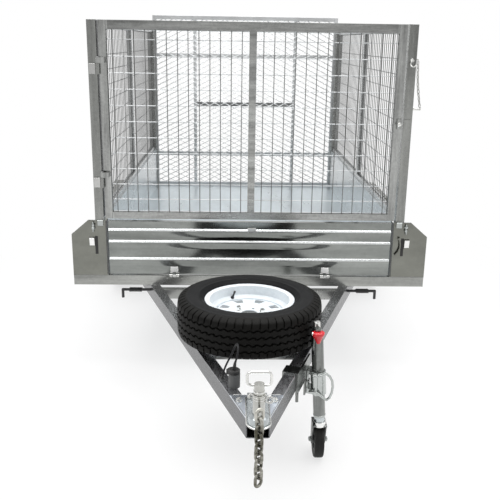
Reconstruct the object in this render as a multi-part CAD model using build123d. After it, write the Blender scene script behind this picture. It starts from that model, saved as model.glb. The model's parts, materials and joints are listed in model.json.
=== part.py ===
from build123d import *
import math
import os

# ------------------------------------------------------------------
# 8 x 5 ft single-axle utility trailer with a mesh cage, millimetres.
# +Z up, the drawbar points to -Y, +X is the right side seen from the
# front.  Lengths below are measured along Y from the front face of the
# tray (0) and every piece is moved by Y_SHIFT at the end, so that the
# origin lies under the middle of the whole trailer, on the ground.
# ------------------------------------------------------------------

# overall
TRAY_L = 2440.0          # tray length
CAGE_HALF = 762.0        # half of the cage's outer width
POST = 50.0              # square corner posts
POST_WALL = 2.0
BEAM_HALF = 881.0        # half length of the front beam
BEAM = 50.0              # front and rear beams, square
Z_BEAM = 450.0           # underside of the front beam
Z_FLOOR = 487.0          # top of the floor sheet
FLOOR_T = 2.0
Z_WALL = 787.0           # top of the side walls
Z_CAGE = 1722.0          # top of the cage
SHEET = 2.0
FRONT_Y = -1452.0        # foremost point (chain)
REAR_Y = 2496.0          # rearmost point (ramp hinge barrels)
Y_SHIFT = -(FRONT_Y + REAR_Y) / 2.0
IN_HALF = CAGE_HALF - POST          # 712, inner face of the side walls

POST_IN = 720.0          # inner face of the front posts

# wheels: 165R13 tyres on 13 inch rims
AXLE_Y = 1400.0
TYRE_R = 298.0
TYRE_W = 173.0
WHEEL_X = 832.0
RIM_LIP_R = 183.0
RIM_HALF_W = 64.0
BEAD_R = 168.0
HUB_R = 62.0
BORE_R = 33.5
STUD_PCD_R = 54.0
STUDS = 5
FACE = -0.5              # the mounting face, from the middle of the wheel

# drawbar
DB_W, DB_H, DB_WALL = 45.0, 70.0, 3.0
DB_TOP = 450.0
DB_FRONT_Y, DB_REAR_Y = -1340.0, 430.0
DB_SLOPE = 0.3426
DB_ANG = math.degrees(math.atan(DB_SLOPE))
DB_WX = DB_W / math.cos(math.radians(DB_ANG))

# coupling
CUP_Y = -1380.0
BALL_R = 25.4            # socket for a 50 mm ball
CUP_TOP = 492.0

# spare wheel
SPARE_X, SPARE_Y = -16.0, -655.0
SPARE_Z = 553.0

# jockey wheel
JK_X, JK_Y = 268.0, -865.0
JK_TRAIL = 34.0
JK_WHEEL_R, JK_WHEEL_W = 75.0, 40.0
JK_TUBE_R = 24.0
JK_PIVOT_Z = 345.0
JK_LEAN = 3.8             # the tube leans in towards the drawbar, degrees

# hinges
GATE_AXIS = (-716.0, -14.0)          # x, y of the mesh gate's hinge line
DROP_AXIS = (-9.0, 503.0)            # y, z of the drop gate's hinge line
RAMP_AXIS = (2486.0, 462.0)          # y, z of the ramp's hinge line

# mesh panels
PITCH_X, PITCH_Z, WIRE = 50.0, 75.0, 4.0

parts = {}


def put(name, *solids):
    parts.setdefault(name, [])
    for s in solids:
        parts[name].extend(list(s.solids()))


def bx(x0, x1, y0, y1, z0, z1):
    return Pos((x0 + x1) / 2, (y0 + y1) / 2, (z0 + z1) / 2) * Box(
        abs(x1 - x0), abs(y1 - y0), abs(z1 - z0))


def rhs(x0, x1, y0, y1, z0, z1, wall=2.0, run="x", open_ends=False):
    """A rectangular tube along one axis, its ends capped or open."""
    over = 5.0 if open_ends else -wall
    g = {"x": wall, "y": wall, "z": wall}
    g[run] = -over
    return bx(x0, x1, y0, y1, z0, z1) - bx(
        x0 + g["x"], x1 - g["x"], y0 + g["y"], y1 - g["y"], z0 + g["z"], z1 - g["z"])


def rod(p, q, r):
    """A round bar from p to q."""
    v = Vector(*q) - Vector(*p)
    pl = Plane(origin=Vector(*p), z_dir=v)
    return extrude(pl * Circle(r), amount=v.length)


def prism(points, z0, z1):
    """A plan outline (x, y) between two heights."""
    return Pos(0, 0, z0) * extrude(make_face(Polyline(*points, close=True)), amount=z1 - z0)


def along_x(points, x0, x1):
    """A side outline (y, z) between two x stations."""
    pl = Plane(origin=(x0, 0, 0), x_dir=(0, 1, 0), z_dir=(1, 0, 0))
    return extrude(pl * make_face(Polyline(*points, close=True)), amount=x1 - x0)


def along_y(points, y0, y1):
    """A front outline (x, z) between two y stations."""
    pl = Plane(origin=(0, y0, 0), x_dir=(1, 0, 0), z_dir=(0, -1, 0))
    return extrude(pl * make_face(Polyline(*points, close=True)), amount=-(y1 - y0))


def turned(profile, axis="z"):
    """A closed (radius, height) outline turned about Z or X."""
    f = Plane.XZ * make_face(Polyline(*profile, close=True))
    s = revolve(f, Axis.Z)
    return Rot(0, 90, 0) * s if axis == "x" else s


def fused(*shapes):
    out = shapes[0]
    for s in shapes[1:]:
        out = out + s
    return out


def db_outer(y):
    return 86.8 + DB_SLOPE * (y + 1200.0)


def db_inner(y):
    return db_outer(y) - DB_WX


SIDES = (("left", -1.0), ("right", 1.0))

# ------------------------------------------------------------------
# chassis
# ------------------------------------------------------------------
front_beam = rhs(-BEAM_HALF, BEAM_HALF, 0, BEAM, Z_BEAM, Z_BEAM + BEAM, 2.5, "x", True)
rear_beam = rhs(-IN_HALF, IN_HALF, TRAY_L - BEAM, TRAY_L, 435, 485, 2.5, "x", True)
RAIL_IN, RAIL_OUT = 640.0, 690.0
for side, s in SIDES:
    put("chassis_rails", rhs(*sorted((s * RAIL_IN, s * RAIL_OUT)), BEAM, TRAY_L - BEAM, 450, 485, 2.5, "y"))
CROSS_Y = [390.0 * k for k in range(1, 6)]
put("chassis_crossmembers", *[
    rhs(-RAIL_IN, RAIL_IN, y - 25, y + 25, 450, 485, 2.0, "x") for y in CROSS_Y])

# floor and walls
put("tray_floor", bx(-IN_HALF, IN_HALF, BEAM, TRAY_L - 2, Z_FLOOR - FLOOR_T, Z_FLOOR))
front_post = {}
for side, s in SIDES:
    web = bx(s * IN_HALF, s * (IN_HALF + SHEET), POST, TRAY_L - POST, 485, Z_WALL)
    top = bx(s * IN_HALF, s * CAGE_HALF, POST, TRAY_L - POST, Z_WALL - SHEET, Z_WALL)
    lip = bx(s * (CAGE_HALF - SHEET), s * CAGE_HALF, POST, TRAY_L - POST, Z_WALL - 30, Z_WALL)
    put("side_wall_" + side, fused(web, top, lip))
    front_post[side] = rhs(*sorted((s * POST_IN, s * CAGE_HALF)), 0, POST, 500, Z_CAGE, POST_WALL, "z")
    put("rear_posts", rhs(*sorted((s * IN_HALF, s * CAGE_HALF)), TRAY_L - POST, TRAY_L, 485, Z_CAGE, POST_WALL, "z"))
    # front corner plates with their outer edge chamfered and turned back
    plate = along_y([(s * (IN_HALF + 0.0), 500), (s * BEAM_HALF, 500), (s * BEAM_HALF, 712),
                     (s * 796, 785), (s * IN_HALF, 785)], -3, 0)
    fold = bx(s * (BEAM_HALF - 3), s * BEAM_HALF, 0, 32, 500, 712)
    # a catch for the drop gate: a lug with a short lever beside it
    lug = bx(s * 768, s * 792, -12, -3, 650, 698)
    catch = [plate, fold, lug]
    if s > 0:
        bar = [(741, -13, 704), (746, -14, 682), (746, -14, 658), (739, -13.5, 638), (726, -12.5, 622)]
        catch.append(rod((741, -2, 704), (741, -19, 704), 7))
        for a, b in zip(bar, bar[1:]):
            catch.append(rod(a, b, 4.5))
        catch += [Pos(*p) * Sphere(4.5) for p in bar]
    put("front_corner_plate_" + side, fused(*catch))

# ------------------------------------------------------------------
# drawbar
# ------------------------------------------------------------------
for side, s in SIDES:
    outer = [(s * db_outer(DB_FRONT_Y), DB_FRONT_Y), (s * db_outer(DB_REAR_Y), DB_REAR_Y),
             (s * db_inner(DB_REAR_Y), DB_REAR_Y), (s * db_inner(DB_FRONT_Y), DB_FRONT_Y)]
    w = DB_WALL / math.cos(math.radians(DB_ANG))
    ya, yb = DB_FRONT_Y - 20, DB_REAR_Y + 20
    inner = [(s * (db_outer(ya) - w), ya), (s * (db_outer(yb) - w), yb),
             (s * (db_inner(yb) + w), yb), (s * (db_inner(ya) + w), ya)]
    put("drawbar_" + side, prism(outer, DB_TOP - DB_H, DB_TOP)
        - prism(inner, DB_TOP - DB_H + DB_WALL, DB_TOP - DB_WALL)
        - bx(-s * 60, s * 0.3, DB_FRONT_Y - 5, -1290, 370, 460))      # mitred where the two meet
ya, yb = -38.0, 2.0
put("chassis_crossmembers", prism([(-db_inner(ya), ya), (db_inner(ya), ya), (db_inner(yb), yb), (-db_inner(yb), yb)], 390, 438)
    - prism([(-600, ya + 3), (600, ya + 3), (600, yb - 3), (-600, yb - 3)], 393, 435))

# coupling plate across the two members, and the pressed coupling head
cp0, cp1 = DB_FRONT_Y, -1180.0
put("coupling_plate", prism([(-db_outer(cp0), cp0), (db_outer(cp0), cp0), (db_outer(cp1), cp1), (-db_outer(cp1), cp1)], 450, 456))
HEAD_W = 34.0
nose = Pos(0, CUP_Y, 456) * Cylinder(HEAD_W, 30, align=(Align.CENTER, Align.CENTER, Align.MIN))
dome = Pos(0, CUP_Y, 486) * Cone(HEAD_W, 24, 10, align=(Align.CENTER, Align.CENTER, Align.MIN))
hood = bx(-HEAD_W, HEAD_W, CUP_Y, -1215, 456, 482)
lip = Pos(0, CUP_Y, 456) * Cylinder(39.5, 5, align=(Align.CENTER, Align.CENTER, Align.MIN))
flange = bx(-39.5, 39.5, CUP_Y, -1200, 456, 461)
head = fused(nose, dome, hood, lip, flange)
head = head - Pos(0, CUP_Y, 450) * Cylinder(BALL_R, 31, align=(Align.CENTER, Align.CENTER, Align.MIN))
head = head - bx(-HEAD_W + 5, HEAD_W - 5, CUP_Y + 38, -1225, 450, 477)
put("coupling_head", head)
LOCK_Y = CUP_Y
lock = fused(
    Pos(0, LOCK_Y, 496) * Cylinder(20, 68, align=(Align.CENTER, Align.CENTER, Align.MIN)),
    Pos(0, LOCK_Y, 564) * Cylinder(16.5, 36, align=(Align.CENTER, Align.CENTER, Align.MIN)),
    Pos(0, LOCK_Y, 568) * Cylinder(18.5, 4, align=(Align.CENTER, Align.CENTER, Align.MIN)),
    bx(-3, 3, LOCK_Y - 68, LOCK_Y - 15, 522.5, 534.2))
put("coupling_lock", lock)
RING_R, RING_Z = 4.8, 593.5
ring_pts = [(-26, 0), (-35.5, 4), (-39, 13), (-39, 33), (-35.5, 42), (-26, 46), (26, 46), (35.5, 42), (39, 33), (39, 13), (35.5, 4), (26, 0)]
ring = None
for a, b in zip(ring_pts, ring_pts[1:]):
    piece = rod((a[0], LOCK_Y, RING_Z + a[1]), (b[0], LOCK_Y, RING_Z + b[1]), RING_R)
    ring = piece if ring is None else ring + piece
for p in ring_pts:
    ring = ring + Pos(p[0], LOCK_Y, RING_Z + p[1]) * Sphere(RING_R)
ring = ring + rod((-26, LOCK_Y, RING_Z), (26, LOCK_Y, RING_Z), RING_R)
ring = ring - Pos(0, LOCK_Y, 560) * Cylinder(16.5, 40, align=(Align.CENTER, Align.CENTER, Align.MIN))
put("coupling_ring", ring)

# safety chain: short links, each turned a quarter from the last
LINK_L, LINK_W, LINK_D = 51.0, 37.0, 10.5
CHAIN_Y, CHAIN_TOP, CHAIN_LINKS = -1437.0, 545.0, 9
LINK_TURN = [30, -52, 40, -48, 45, -44, 47, -45, 43]
link_pitch = LINK_L - 2 * LINK_D - 0.8


def chain_link(zc, turn):
    half = LINK_L / 2 - LINK_W / 2
    r = LINK_W / 2 - LINK_D / 2
    top = Pos(0, 0, half) * Rot(90, 0, 0) * Torus(r, LINK_D / 2)
    top = top & Pos(0, 0, half + 50) * Box(100, 100, 100)
    bot = Pos(0, 0, -half) * Rot(90, 0, 0) * Torus(r, LINK_D / 2)
    bot = bot & Pos(0, 0, -half - 50) * Box(100, 100, 100)
    legs = [rod((k * r, 0, -half), (k * r, 0, half), LINK_D / 2) for k in (-1, 1)]
    return Pos(0, CHAIN_Y, zc) * Rot(0, 0, turn) * fused(top, bot, *legs)


put("safety_chain", *[chain_link(CHAIN_TOP - LINK_L / 2 - k * link_pitch, LINK_TURN[k]) for k in range(CHAIN_LINKS)])


# ------------------------------------------------------------------
# wheels
# ------------------------------------------------------------------
# (radius, across) outlines, symmetric about the wheel's middle
TYRE_OUT = [(BEAD_R + 1, 40), (BEAD_R + 1, 61), (RIM_LIP_R + 1, 63.2), (RIM_LIP_R + 6, 71), (206, 83.5), (232, TYRE_W / 2), (262, 84),
            (284, 76.5), (291, 69), (296, 58.5), (TYRE_R, 31)]
TYRE_IN = [(BEAD_R + 10, 40), (192, 54), (206, 70), (232, 73), (262, 70), (278, 60), (284, 30)]


def tyre():
    out = TYRE_OUT + [(r, -a) for r, a in reversed(TYRE_OUT)]
    inn = TYRE_IN + [(r, -a) for r, a in reversed(TYRE_IN)]
    # one closed outline: up the outside, back down the inside
    prof = out + list(reversed(inn))
    return turned(prof)


def rim():
    t = 3.0
    # (radius, across) of the rim's outer skin, from the inner lip to the outer lip
    skin = [(RIM_LIP_R, -RIM_HALF_W), (BEAD_R, -RIM_HALF_W + 2), (BEAD_R - 1, -40), (150, -26), (150, 14),
            (BEAD_R - 1, 26), (BEAD_R, RIM_HALF_W - 2), (RIM_LIP_R, RIM_HALF_W)]
    back = [(r - t, a) for r, a in skin]
    back[0] = (RIM_LIP_R, -RIM_HALF_W - t)
    back[1] = (BEAD_R - t, -RIM_HALF_W - 1)
    back[-1] = (RIM_LIP_R, RIM_HALF_W + t)
    back[-2] = (BEAD_R - t, RIM_HALF_W + 1)
    band = turned(skin + list(reversed(back)))
    # dished disc; its mounting face is at FACE
    # the flat band between 89 and 133 is wider than the windows cut in it
    disc = [(BORE_R, 0), (71, 0), (84, 10), (89, 11.5), (133, 11.5), (139, 4), (148.5, -11), (148.5, -7), (141, 8), (134, 15.5),
            (88, 15.5), (83, 14), (70, 4), (BORE_R, 4)]
    d = Pos(0, 0, FACE) * turned(disc)
    for k in range(8):
        tri = make_face(Polyline((-13, 92), (13, 92), (22, 128), (-22, 128), close=True))
        d = d - Rot(0, 0, k * 45 + 22.5) * Pos(0, 0, -50) * extrude(tri, amount=80)
    for k in range(STUDS):
        d = d - Rot(0, 0, k * 72) * Pos(STUD_PCD_R, 0, 0) * Cylinder(7.2, 80)
    return band + d


TYRE, RIM = tyre(), rim()
for side, s in SIDES:
    place = Pos(s * WHEEL_X, AXLE_Y, TYRE_R) * Rot(0, 90 * s, 0)
    put("tyre_" + side, place * TYRE)
    put("wheel_rim_" + side, place * RIM)
    hub = Cylinder(HUB_R, 8, align=(Align.CENTER, Align.CENTER, Align.MAX))
    hub = Pos(0, 0, 23.8) * hub + Pos(0, 0, -52) * Cylinder(33, 68, align=(Align.CENTER, Align.CENTER, Align.MIN))
    hub = hub + Pos(0, 0, 10) * Cylinder(31, 42, align=(Align.CENTER, Align.CENTER, Align.MIN))
    hub = hub - Pos(0, 0, -60) * Cylinder(20.0, 100, align=(Align.CENTER, Align.CENTER, Align.MIN))
    for k in range(STUDS):
        hub = hub + Rot(0, 0, k * 72) * Pos(STUD_PCD_R, 0, 14) * Cylinder(6, 34, align=(Align.CENTER, Align.CENTER, Align.MIN))
    put("wheel_hub_" + side, place * Pos(0, 0, FACE - 24) * hub)

# axle: a square beam with a round stub into each hub
AX = 22.5
axle = bx(-742, 742, AXLE_Y - AX, AXLE_Y + AX, TYRE_R - AX, TYRE_R + AX)
for side, s in SIDES:
    axle = axle + rod((s * 735, AXLE_Y, TYRE_R), (s * 841, AXLE_Y, TYRE_R), 19.4)
put("axle_beam", axle)

# leaf springs on the axle, under the rails, with hangers and shackles
SPRING_X, LEAF_W, LEAF_T = 665.0, 44.0, 7.0
Z_SEAT = TYRE_R + AX
leaf_half = [370.0, 270.0, 190.0, 110.0]
for side, s in SIDES:
    stack = None
    for k, half in enumerate(leaf_half):
        z = Z_SEAT + 4 + LEAF_T * (len(leaf_half) - 1 - k)
        rise = 34.0 * (half / leaf_half[0]) ** 2
        R = (half ** 2 + rise ** 2) / (2 * rise)
        ang = math.degrees(math.asin(half / R))
        ring_f = make_face(Polyline((0, 0), (-(R + 60) * math.sin(math.radians(ang)), -(R + 60) * math.cos(math.radians(ang))),
                                    (0, -(R + 90)), ((R + 60) * math.sin(math.radians(ang)), -(R + 60) * math.cos(math.radians(ang))), close=True))
        pl = Plane(origin=(s * SPRING_X - LEAF_W / 2, AXLE_Y, z + R), x_dir=(0, 1, 0), z_dir=(1, 0, 0))
        f = (Circle(R) - Circle(R - LEAF_T)) & ring_f
        leaf = extrude(pl * f, amount=LEAF_W)
        stack = leaf if stack is None else stack + leaf
    seat = bx(s * SPRING_X - 26, s * SPRING_X + 26, AXLE_Y - 45, AXLE_Y + 45, Z_SEAT, Z_SEAT + 5)
    clamp = bx(s * SPRING_X - 26, s * SPRING_X + 26, AXLE_Y - 45, AXLE_Y + 45, Z_SEAT + 4 + 4 * LEAF_T - 1, Z_SEAT + 4 + 4 * LEAF_T + 8)
    put("leaf_springs", fused(stack, seat, clamp))
hang = []
for side, s in SIDES:
    for y in (AXLE_Y - 365, AXLE_Y + 365):
        c0, c1 = s * SPRING_X - 29, s * SPRING_X + 29
        cheeks = [along_x([(y - 30, 450), (y + 30, 450), (y + 16, 362), (y - 16, 362)], a, a + 5) for a in (c0, c1 - 5)]
        top = bx(c0, c1, y - 30, y + 30, 444, 450)
        pin = rod((c0 + 1, y, 400), (c1 - 1, y, 400), 7)
        hang.append(fused(*cheeks, top, pin))
put("spring_hangers", *hang)

# mudguards: flat top, sloped ends and a turned-down outer edge
GUARD = [(1040, 478), (1130, 668), (1670, 668), (1760, 478)]
for side, s in SIDES:
    under = [(1043, 478), (1131.4, 666), (1668.6, 666), (1757, 478)]
    top = along_x(GUARD + list(reversed(under)), s * (IN_HALF + SHEET), s * 930)
    skirt = GUARD + [(1728, 478), (1650, 640), (1150, 640), (1072, 478)]
    put("mudguard_" + side, fused(top, along_x(skirt, s * 928, s * 930)))

# ------------------------------------------------------------------
# cage
# ------------------------------------------------------------------
FR = 30.0                # frame tube of the cage sides
GAP = 0.4                # weld gap between tubes
FX0, FX1 = 722.0, 752.0


def grid_panel(u0, u1, v0, v1, pitch_u, pitch_v, wire, u_ref, v_ref):
    """A flat welded-wire panel in its own plane: a sheet with one window between every four wires."""
    def cells(a, b, ref, pitch):
        k0 = math.ceil((a + wire - ref) / pitch)
        lines = [a + wire / 2]
        k = k0
        while ref + k * pitch < b - wire * 1.5:
            if ref + k * pitch > a + wire * 2:
                lines.append(ref + k * pitch)
            k += 1
        lines.append(b - wire / 2)
        return lines
    us, vs = cells(u0, u1, u_ref, pitch_u), cells(v0, v1, v_ref, pitch_v)
    holes = []
    for ua, ub in zip(us, us[1:]):
        for va, vb in zip(vs, vs[1:]):
            a0, a1, b0, b1 = ua + wire / 2, ub - wire / 2, va + wire / 2, vb - wire / 2
            if a1 - a0 > 3 and b1 - b0 > 3:
                holes.append(Wire.make_polygon([(a0, b0), (a1, b0), (a1, b1), (a0, b1)], close=True))
    outer = Wire.make_polygon([(u0, v0), (u1, v0), (u1, v1), (u0, v1)], close=True)
    return Face(outer, holes)


MESH_Z0 = 887.0 - 75.0
for side, s in SIDES:
    xs = sorted((s * FX0, s * FX1))
    y0, y1 = POST, TRAY_L - POST
    mid0, mid1 = TRAY_L / 2 - 20, TRAY_L / 2 + 20
    put("cage_frame_" + side,
        rhs(*xs, y0, y1, Z_WALL, Z_WALL + 25, 2.0, "y"),
        rhs(*xs, y0, y1, Z_CAGE - FR, Z_CAGE, 2.0, "y"),
        rhs(*xs, mid0, mid1, Z_WALL + 25 + GAP, Z_CAGE - FR - GAP, 2.0, "z"))
    panels = []
    for a, b in ((y0 + GAP, mid0 - GAP), (mid1 + GAP, y1 - GAP)):
        f = grid_panel(a, b, Z_WALL + 25 + GAP, Z_CAGE - FR - GAP, PITCH_X, PITCH_Z, WIRE, 25.0, MESH_Z0)
        pl = Plane(origin=(s * 737.0 - WIRE / 2, 0, 0), x_dir=(0, 1, 0), z_dir=(1, 0, 0))
        panels.append(extrude(pl * f, amount=WIRE))
    put("cage_mesh_" + side, *panels)

# front mesh gate, hinged on the left front post
GX, GZ0, GZ1, GB, GS = 711.0, 792.0, 1722.0, 40.0, 35.0     # half width, foot, top, top bar, stile
GY0, GY1 = 2.0, 2.0 + 25.0
left_stile = rhs(-GX, -GX + GS, GY0, GY1, GZ0, GZ1, 2.0, "z")
right_stile = rhs(GX - GS, GX, GY0, GY1, GZ0, GZ1, 2.0, "z")
put("gate_frame",
    rhs(-GX + GS + GAP, GX - GS - GAP, GY0, GY1, GZ1 - GB, GZ1, 2.0, "x"),
    rhs(-GX + GS + GAP, GX - GS - GAP, GY0, GY1, GZ0, GZ0 + 33, 2.0, "x"),
    bx(-17, 17, GY0, GY0 + 5, GZ0 + 33 + GAP, GZ1 - GB - GAP))
f = grid_panel(-GX + GS + GAP, GX - GS - GAP, GZ0 + 33 + GAP, GZ1 - GB - GAP, PITCH_X, PITCH_Z, WIRE, 0.0, MESH_Z0)
pl = Plane(origin=(0, GY0 + 10 + WIRE, 0), x_dir=(1, 0, 0), z_dir=(0, -1, 0))
put("gate_mesh", extrude(pl * f, amount=WIRE))
HINGE_Z = (998.0, 1531.0)
ax, ay = GATE_AXIS
post_h, gate_h = [], []
for z in HINGE_Z:
    post_h.append(fused(rod((ax, ay, z - 50), (ax, ay, z - 2), 9), rod((ax, ay, z - 50), (ax, ay, z + 22), 5),
                        bx(-758, ax - 4, -9, 0, z - 50, z - 2), bx(ax - 9, ax, ay, 0, z - 50, z - 2)))
    g = fused(rod((ax, ay, z), (ax, ay, z + 26), 9), bx(ax, ax + 32, ay - 9, ay - 4, z, z + 26),
              bx(ax + 16, ax + 32, ay - 9, GY0, z, z + 26))
    gate_h.append(g - rod((ax, ay, z - 5), (ax, ay, z + 23), 5.4))
right_stile = fused(right_stile, bx(690, 711, -12, GY0 + 1, 1244, 1292), bx(710, 713, -12, -4, 1250, 1286))
put("gate_frame", fused(left_stile, *gate_h), right_stile)
front_post["left"] = fused(front_post["left"], *post_h)
# latch keep, padlock pin on the right post
front_post["right"] = fused(front_post["right"], bx(720, 754, -7, 0, 1246, 1290), bx(719, 723, -12, 0, 1250, 1286),
                            rod((760, 12, 1340), (800, 12, 1336), 5))
for side, s in SIDES:
    put("front_post_" + side, front_post[side])

# drop gate: a ribbed pressed panel, hinged along its foot
DX, DZ0, DZ1 = 700.0, 508.0, 778.0
ribs = [584.0, 673.0, 732.0]
front = [(4, DZ0)]
for z in ribs:
    front += [(4, z - 36), (2.6, z - 24), (-0.6, z - 12), (-3.6, z - 4), (-4, z - 1), (-3.4, z + 2), (4, z + 9)]
front += [(4, DZ1)]
back = [(y + 2.2, z) for y, z in front]
panel = along_x(front + list(reversed(back)), -DX, DX)
top = bx(-DX, DX, 4, 34, DZ1 - 2.2, DZ1)
toplip = bx(-DX, DX, 31.8, 34, DZ1 - 25, DZ1)
bot = bx(-DX, DX, 4, 34, DZ0, DZ0 + 2.2)
botlip = bx(-DX, DX, 31.8, 34, DZ0, DZ0 + 20)
ends = [bx(a, b, 5, 34, DZ0, DZ1) for a, b in ((-DX, -DX + 2.2), (DX - 2.2, DX))]
drop_gate = fused(panel, top, toplip, bot, botlip, *ends)
dy, dz = DROP_AXIS
HX = (-378.0, 378.0)
fixed, leaf = [], []
for x in HX:
    fixed.append(fused(rod((x - 24, dy, dz), (x - 9, dy, dz), 8), rod((x + 9, dy, dz), (x + 24, dy, dz), 8),
                       rod((x - 24, dy, dz), (x + 24, dy, dz), 3.6),
                       bx(x - 24, x - 9, dy, 0, dz - 8, dz - 2.5), bx(x + 9, x + 24, dy, 0, dz - 8, dz - 2.5),
                       bx(x - 45, x + 45, -4, 0, 474, 494)))
    l = fused(rod((x - 8, dy, dz), (x + 8, dy, dz), 8), bx(x - 8, x + 8, dy - 6, 4, dz + 1, dz + 12), bx(x - 22, x + 22, -1, 4, 514, 548), bx(x - 8, x + 8, -3, 4, dz + 6, 520))
    l = l - rod((x - 30, dy, dz), (x + 30, dy, dz), 4.0)
    leaf.append(l)
put("front_beam", fused(front_beam, *fixed))
put("drop_gate", fused(drop_gate, *leaf))

# rear ramp: tube frame with an expanded-metal face
RX, RZ0, RZ1, RB = 725.0, 482.0, 1820.0, 30.0
RY0, RY1 = 2446.0, 2476.0
RAMP_RAILS = (745.0, 1145.0, 1520.0)
INNER_X = 395.0
bars = [rhs(-RX, -RX + RB, RY0, RY1, RZ0, RZ1, 2.0, "z"), rhs(RX - RB, RX, RY0, RY1, RZ0, RZ1, 2.0, "z"),
        rhs(-RX + RB + GAP, RX - RB - GAP, RY0, RY1, RZ1 - RB, RZ1, 2.0, "x"),
        ]
ramp_foot = rhs(-RX + RB + GAP, RX - RB - GAP, RY0, RY1, RZ0, RZ0 + RB, 2.0, "x")
for s in (-1, 1):
    bars.append(rhs(*sorted((s * (INNER_X - 12), s * (INNER_X + 13))), RY0 + 5, RY1, RZ0 + RB + GAP, RZ1 - RB - GAP, 2.0, "z"))
for z in RAMP_RAILS:
    spans = [(-INNER_X + 13 + GAP, INNER_X - 13 - GAP)]
    if z != 1145.0:
        spans += [(-RX + RB + GAP, -INNER_X - 13 - GAP), (INNER_X + 13 + GAP, RX - RB - GAP)]
    for a, b in spans:
        bars.append(rhs(a, b, RY0 + 5, RY1, z - 15, z + 15, 2.0, "x"))
ramp_bars = bars

# expanded metal: a thin sheet with diamond windows
DIA_W, DIA_H, STRAND = 80.0, 40.0, 5.0
u0, u1, v0, v1 = -RX + RB + GAP, RX - RB - GAP, RZ0 + RB + GAP, RZ1 - RB - GAP
holes = []
hw, hh = DIA_W / 2 - STRAND, DIA_H / 2 - STRAND / 2
nrow = int((v1 - v0) / (DIA_H / 2))
for r in range(nrow + 1):
    vc = v0 + 22 + r * DIA_H / 2
    if vc + hh > v1 - 2:
        break
    off = 0 if r % 2 == 0 else DIA_W / 2
    n = int((u1 - u0) / DIA_W) + 2
    for c in range(-n, n):
        uc = off + c * DIA_W
        if uc - hw < u0 + 2 or uc + hw > u1 - 2:
            continue
        holes.append(Wire.make_polygon([(uc - hw, vc), (uc, vc - hh), (uc + hw, vc), (uc, vc + hh)], close=True))
f = Face(Wire.make_polygon([(u0, v0), (u1, v0), (u1, v1), (u0, v1)], close=True), holes)
pl = Plane(origin=(0, RY0 + 4.4, 0), x_dir=(1, 0, 0), z_dir=(0, -1, 0))
put("ramp_mesh", extrude(pl * f, amount=3.0))
ry, rz = RAMP_AXIS
fixed, leaf = [], []
for x in (-600.0, 0.0, 600.0):
    fixed.append(fused(rod((x - 45, ry, rz), (x - 16, ry, rz), 10), rod((x + 16, ry, rz), (x + 45, ry, rz), 10),
                       rod((x - 45, ry, rz), (x + 45, ry, rz), 5.6),
                       bx(x - 45, x - 16, TRAY_L, ry, rz - 10, rz - 4), bx(x + 16, x + 45, TRAY_L, ry, rz - 10, rz - 4)))
    l = fused(rod((x - 15, ry, rz), (x + 15, ry, rz), 10), bx(x - 15, x + 15, ry - 8, ry + 4, rz, RZ0), bx(x - 15, x + 15, RY1, RY1 + 4, rz + 10, RZ0 + 28))
    leaf.append(l - rod((x - 50, ry, rz), (x + 50, ry, rz), 6.0))
put("rear_beam", fused(rear_beam, *fixed))
put("ramp_frame", *ramp_bars, fused(ramp_foot, *leaf))

# lights and number plate on a panel under the rear beam
for side, s in SIDES:
    put("tail_lights", bx(s * 560, s * 705, TRAY_L, TRAY_L + 28, 345, 425) + bx(s * 555, s * 710, TRAY_L - 4, TRAY_L, 340, 435))
put("number_plate", bx(-186, 186, TRAY_L, TRAY_L + 3, 330, 434))

# ------------------------------------------------------------------
# spare wheel on the drawbar
# ------------------------------------------------------------------
spare_place = Pos(SPARE_X, SPARE_Y, SPARE_Z)
put("spare_tyre", spare_place * TYRE)
put("spare_rim", spare_place * RIM)
flat_a = bx(-db_outer(SPARE_Y) + 6, db_outer(SPARE_Y) - 6, SPARE_Y - 30, SPARE_Y + 30, 450, 458)
post = Pos(SPARE_X, SPARE_Y, 456) * Cylinder(28, SPARE_Z + FACE - 8.5 - 456, align=(Align.CENTER, Align.CENTER, Align.MIN))
top = Pos(SPARE_X, SPARE_Y, SPARE_Z + FACE - 8.5) * Cylinder(66, 8, align=(Align.CENTER, Align.CENTER, Align.MIN))
carrier = fused(flat_a, post, top)
for k in (0, 2):
    carrier = carrier + Pos(SPARE_X, SPARE_Y, SPARE_Z + FACE - 6.5) * Rot(0, 0, 72 * k) * Pos(STUD_PCD_R, 0, 0) * Cylinder(
        6, 30, align=(Align.CENTER, Align.CENTER, Align.MIN))
# a second flat bar lets in between the members, flush with their tops
bar_b = prism([(-db_inner(-862), -862), (db_inner(-862), -862), (db_inner(-822), -822), (-db_inner(-822), -822)], 442, 450)
put("spare_carrier", carrier, bar_b)

# ------------------------------------------------------------------
# jockey wheel on the right member
# ------------------------------------------------------------------
# two local frames, x along the member (rearwards), y towards the member:
# JKU stands upright on the swing pivot, JKP leans with the tube
d = Vector(DB_SLOPE, 1, 0).normalized()
side_in = Vector(-1, DB_SLOPE, 0).normalized()
lean = math.radians(JK_LEAN)
tube_dir = Vector(side_in.X * math.sin(lean), side_in.Y * math.sin(lean), math.cos(lean))
Z_BASE = 160.0
base = Vector(JK_X, JK_Y, Z_BASE)
JKP = Plane(origin=base - tube_dir * Z_BASE, x_dir=d, z_dir=tube_dir)
up = (JK_PIVOT_Z - Z_BASE) / math.cos(lean)
pivot = base + tube_dir * up
JKU = Plane(origin=(pivot.X, pivot.Y, 0), x_dir=d, z_dir=(0, 0, 1))
DIST = (pivot.X - db_outer(pivot.Y)) * math.cos(math.radians(DB_ANG))   # tube axis to the member's face
print("jockey: tube direction", tuple(tube_dir), "base", tuple(base), "pivot", tuple(pivot), "to the member", DIST)
JT0, JT1 = 200.0, 560.0      # outer tube
FORK_TOP = 158.0


def jk(shape):
    return JKP.location * shape


def ju(shape):
    return JKU.location * shape


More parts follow.
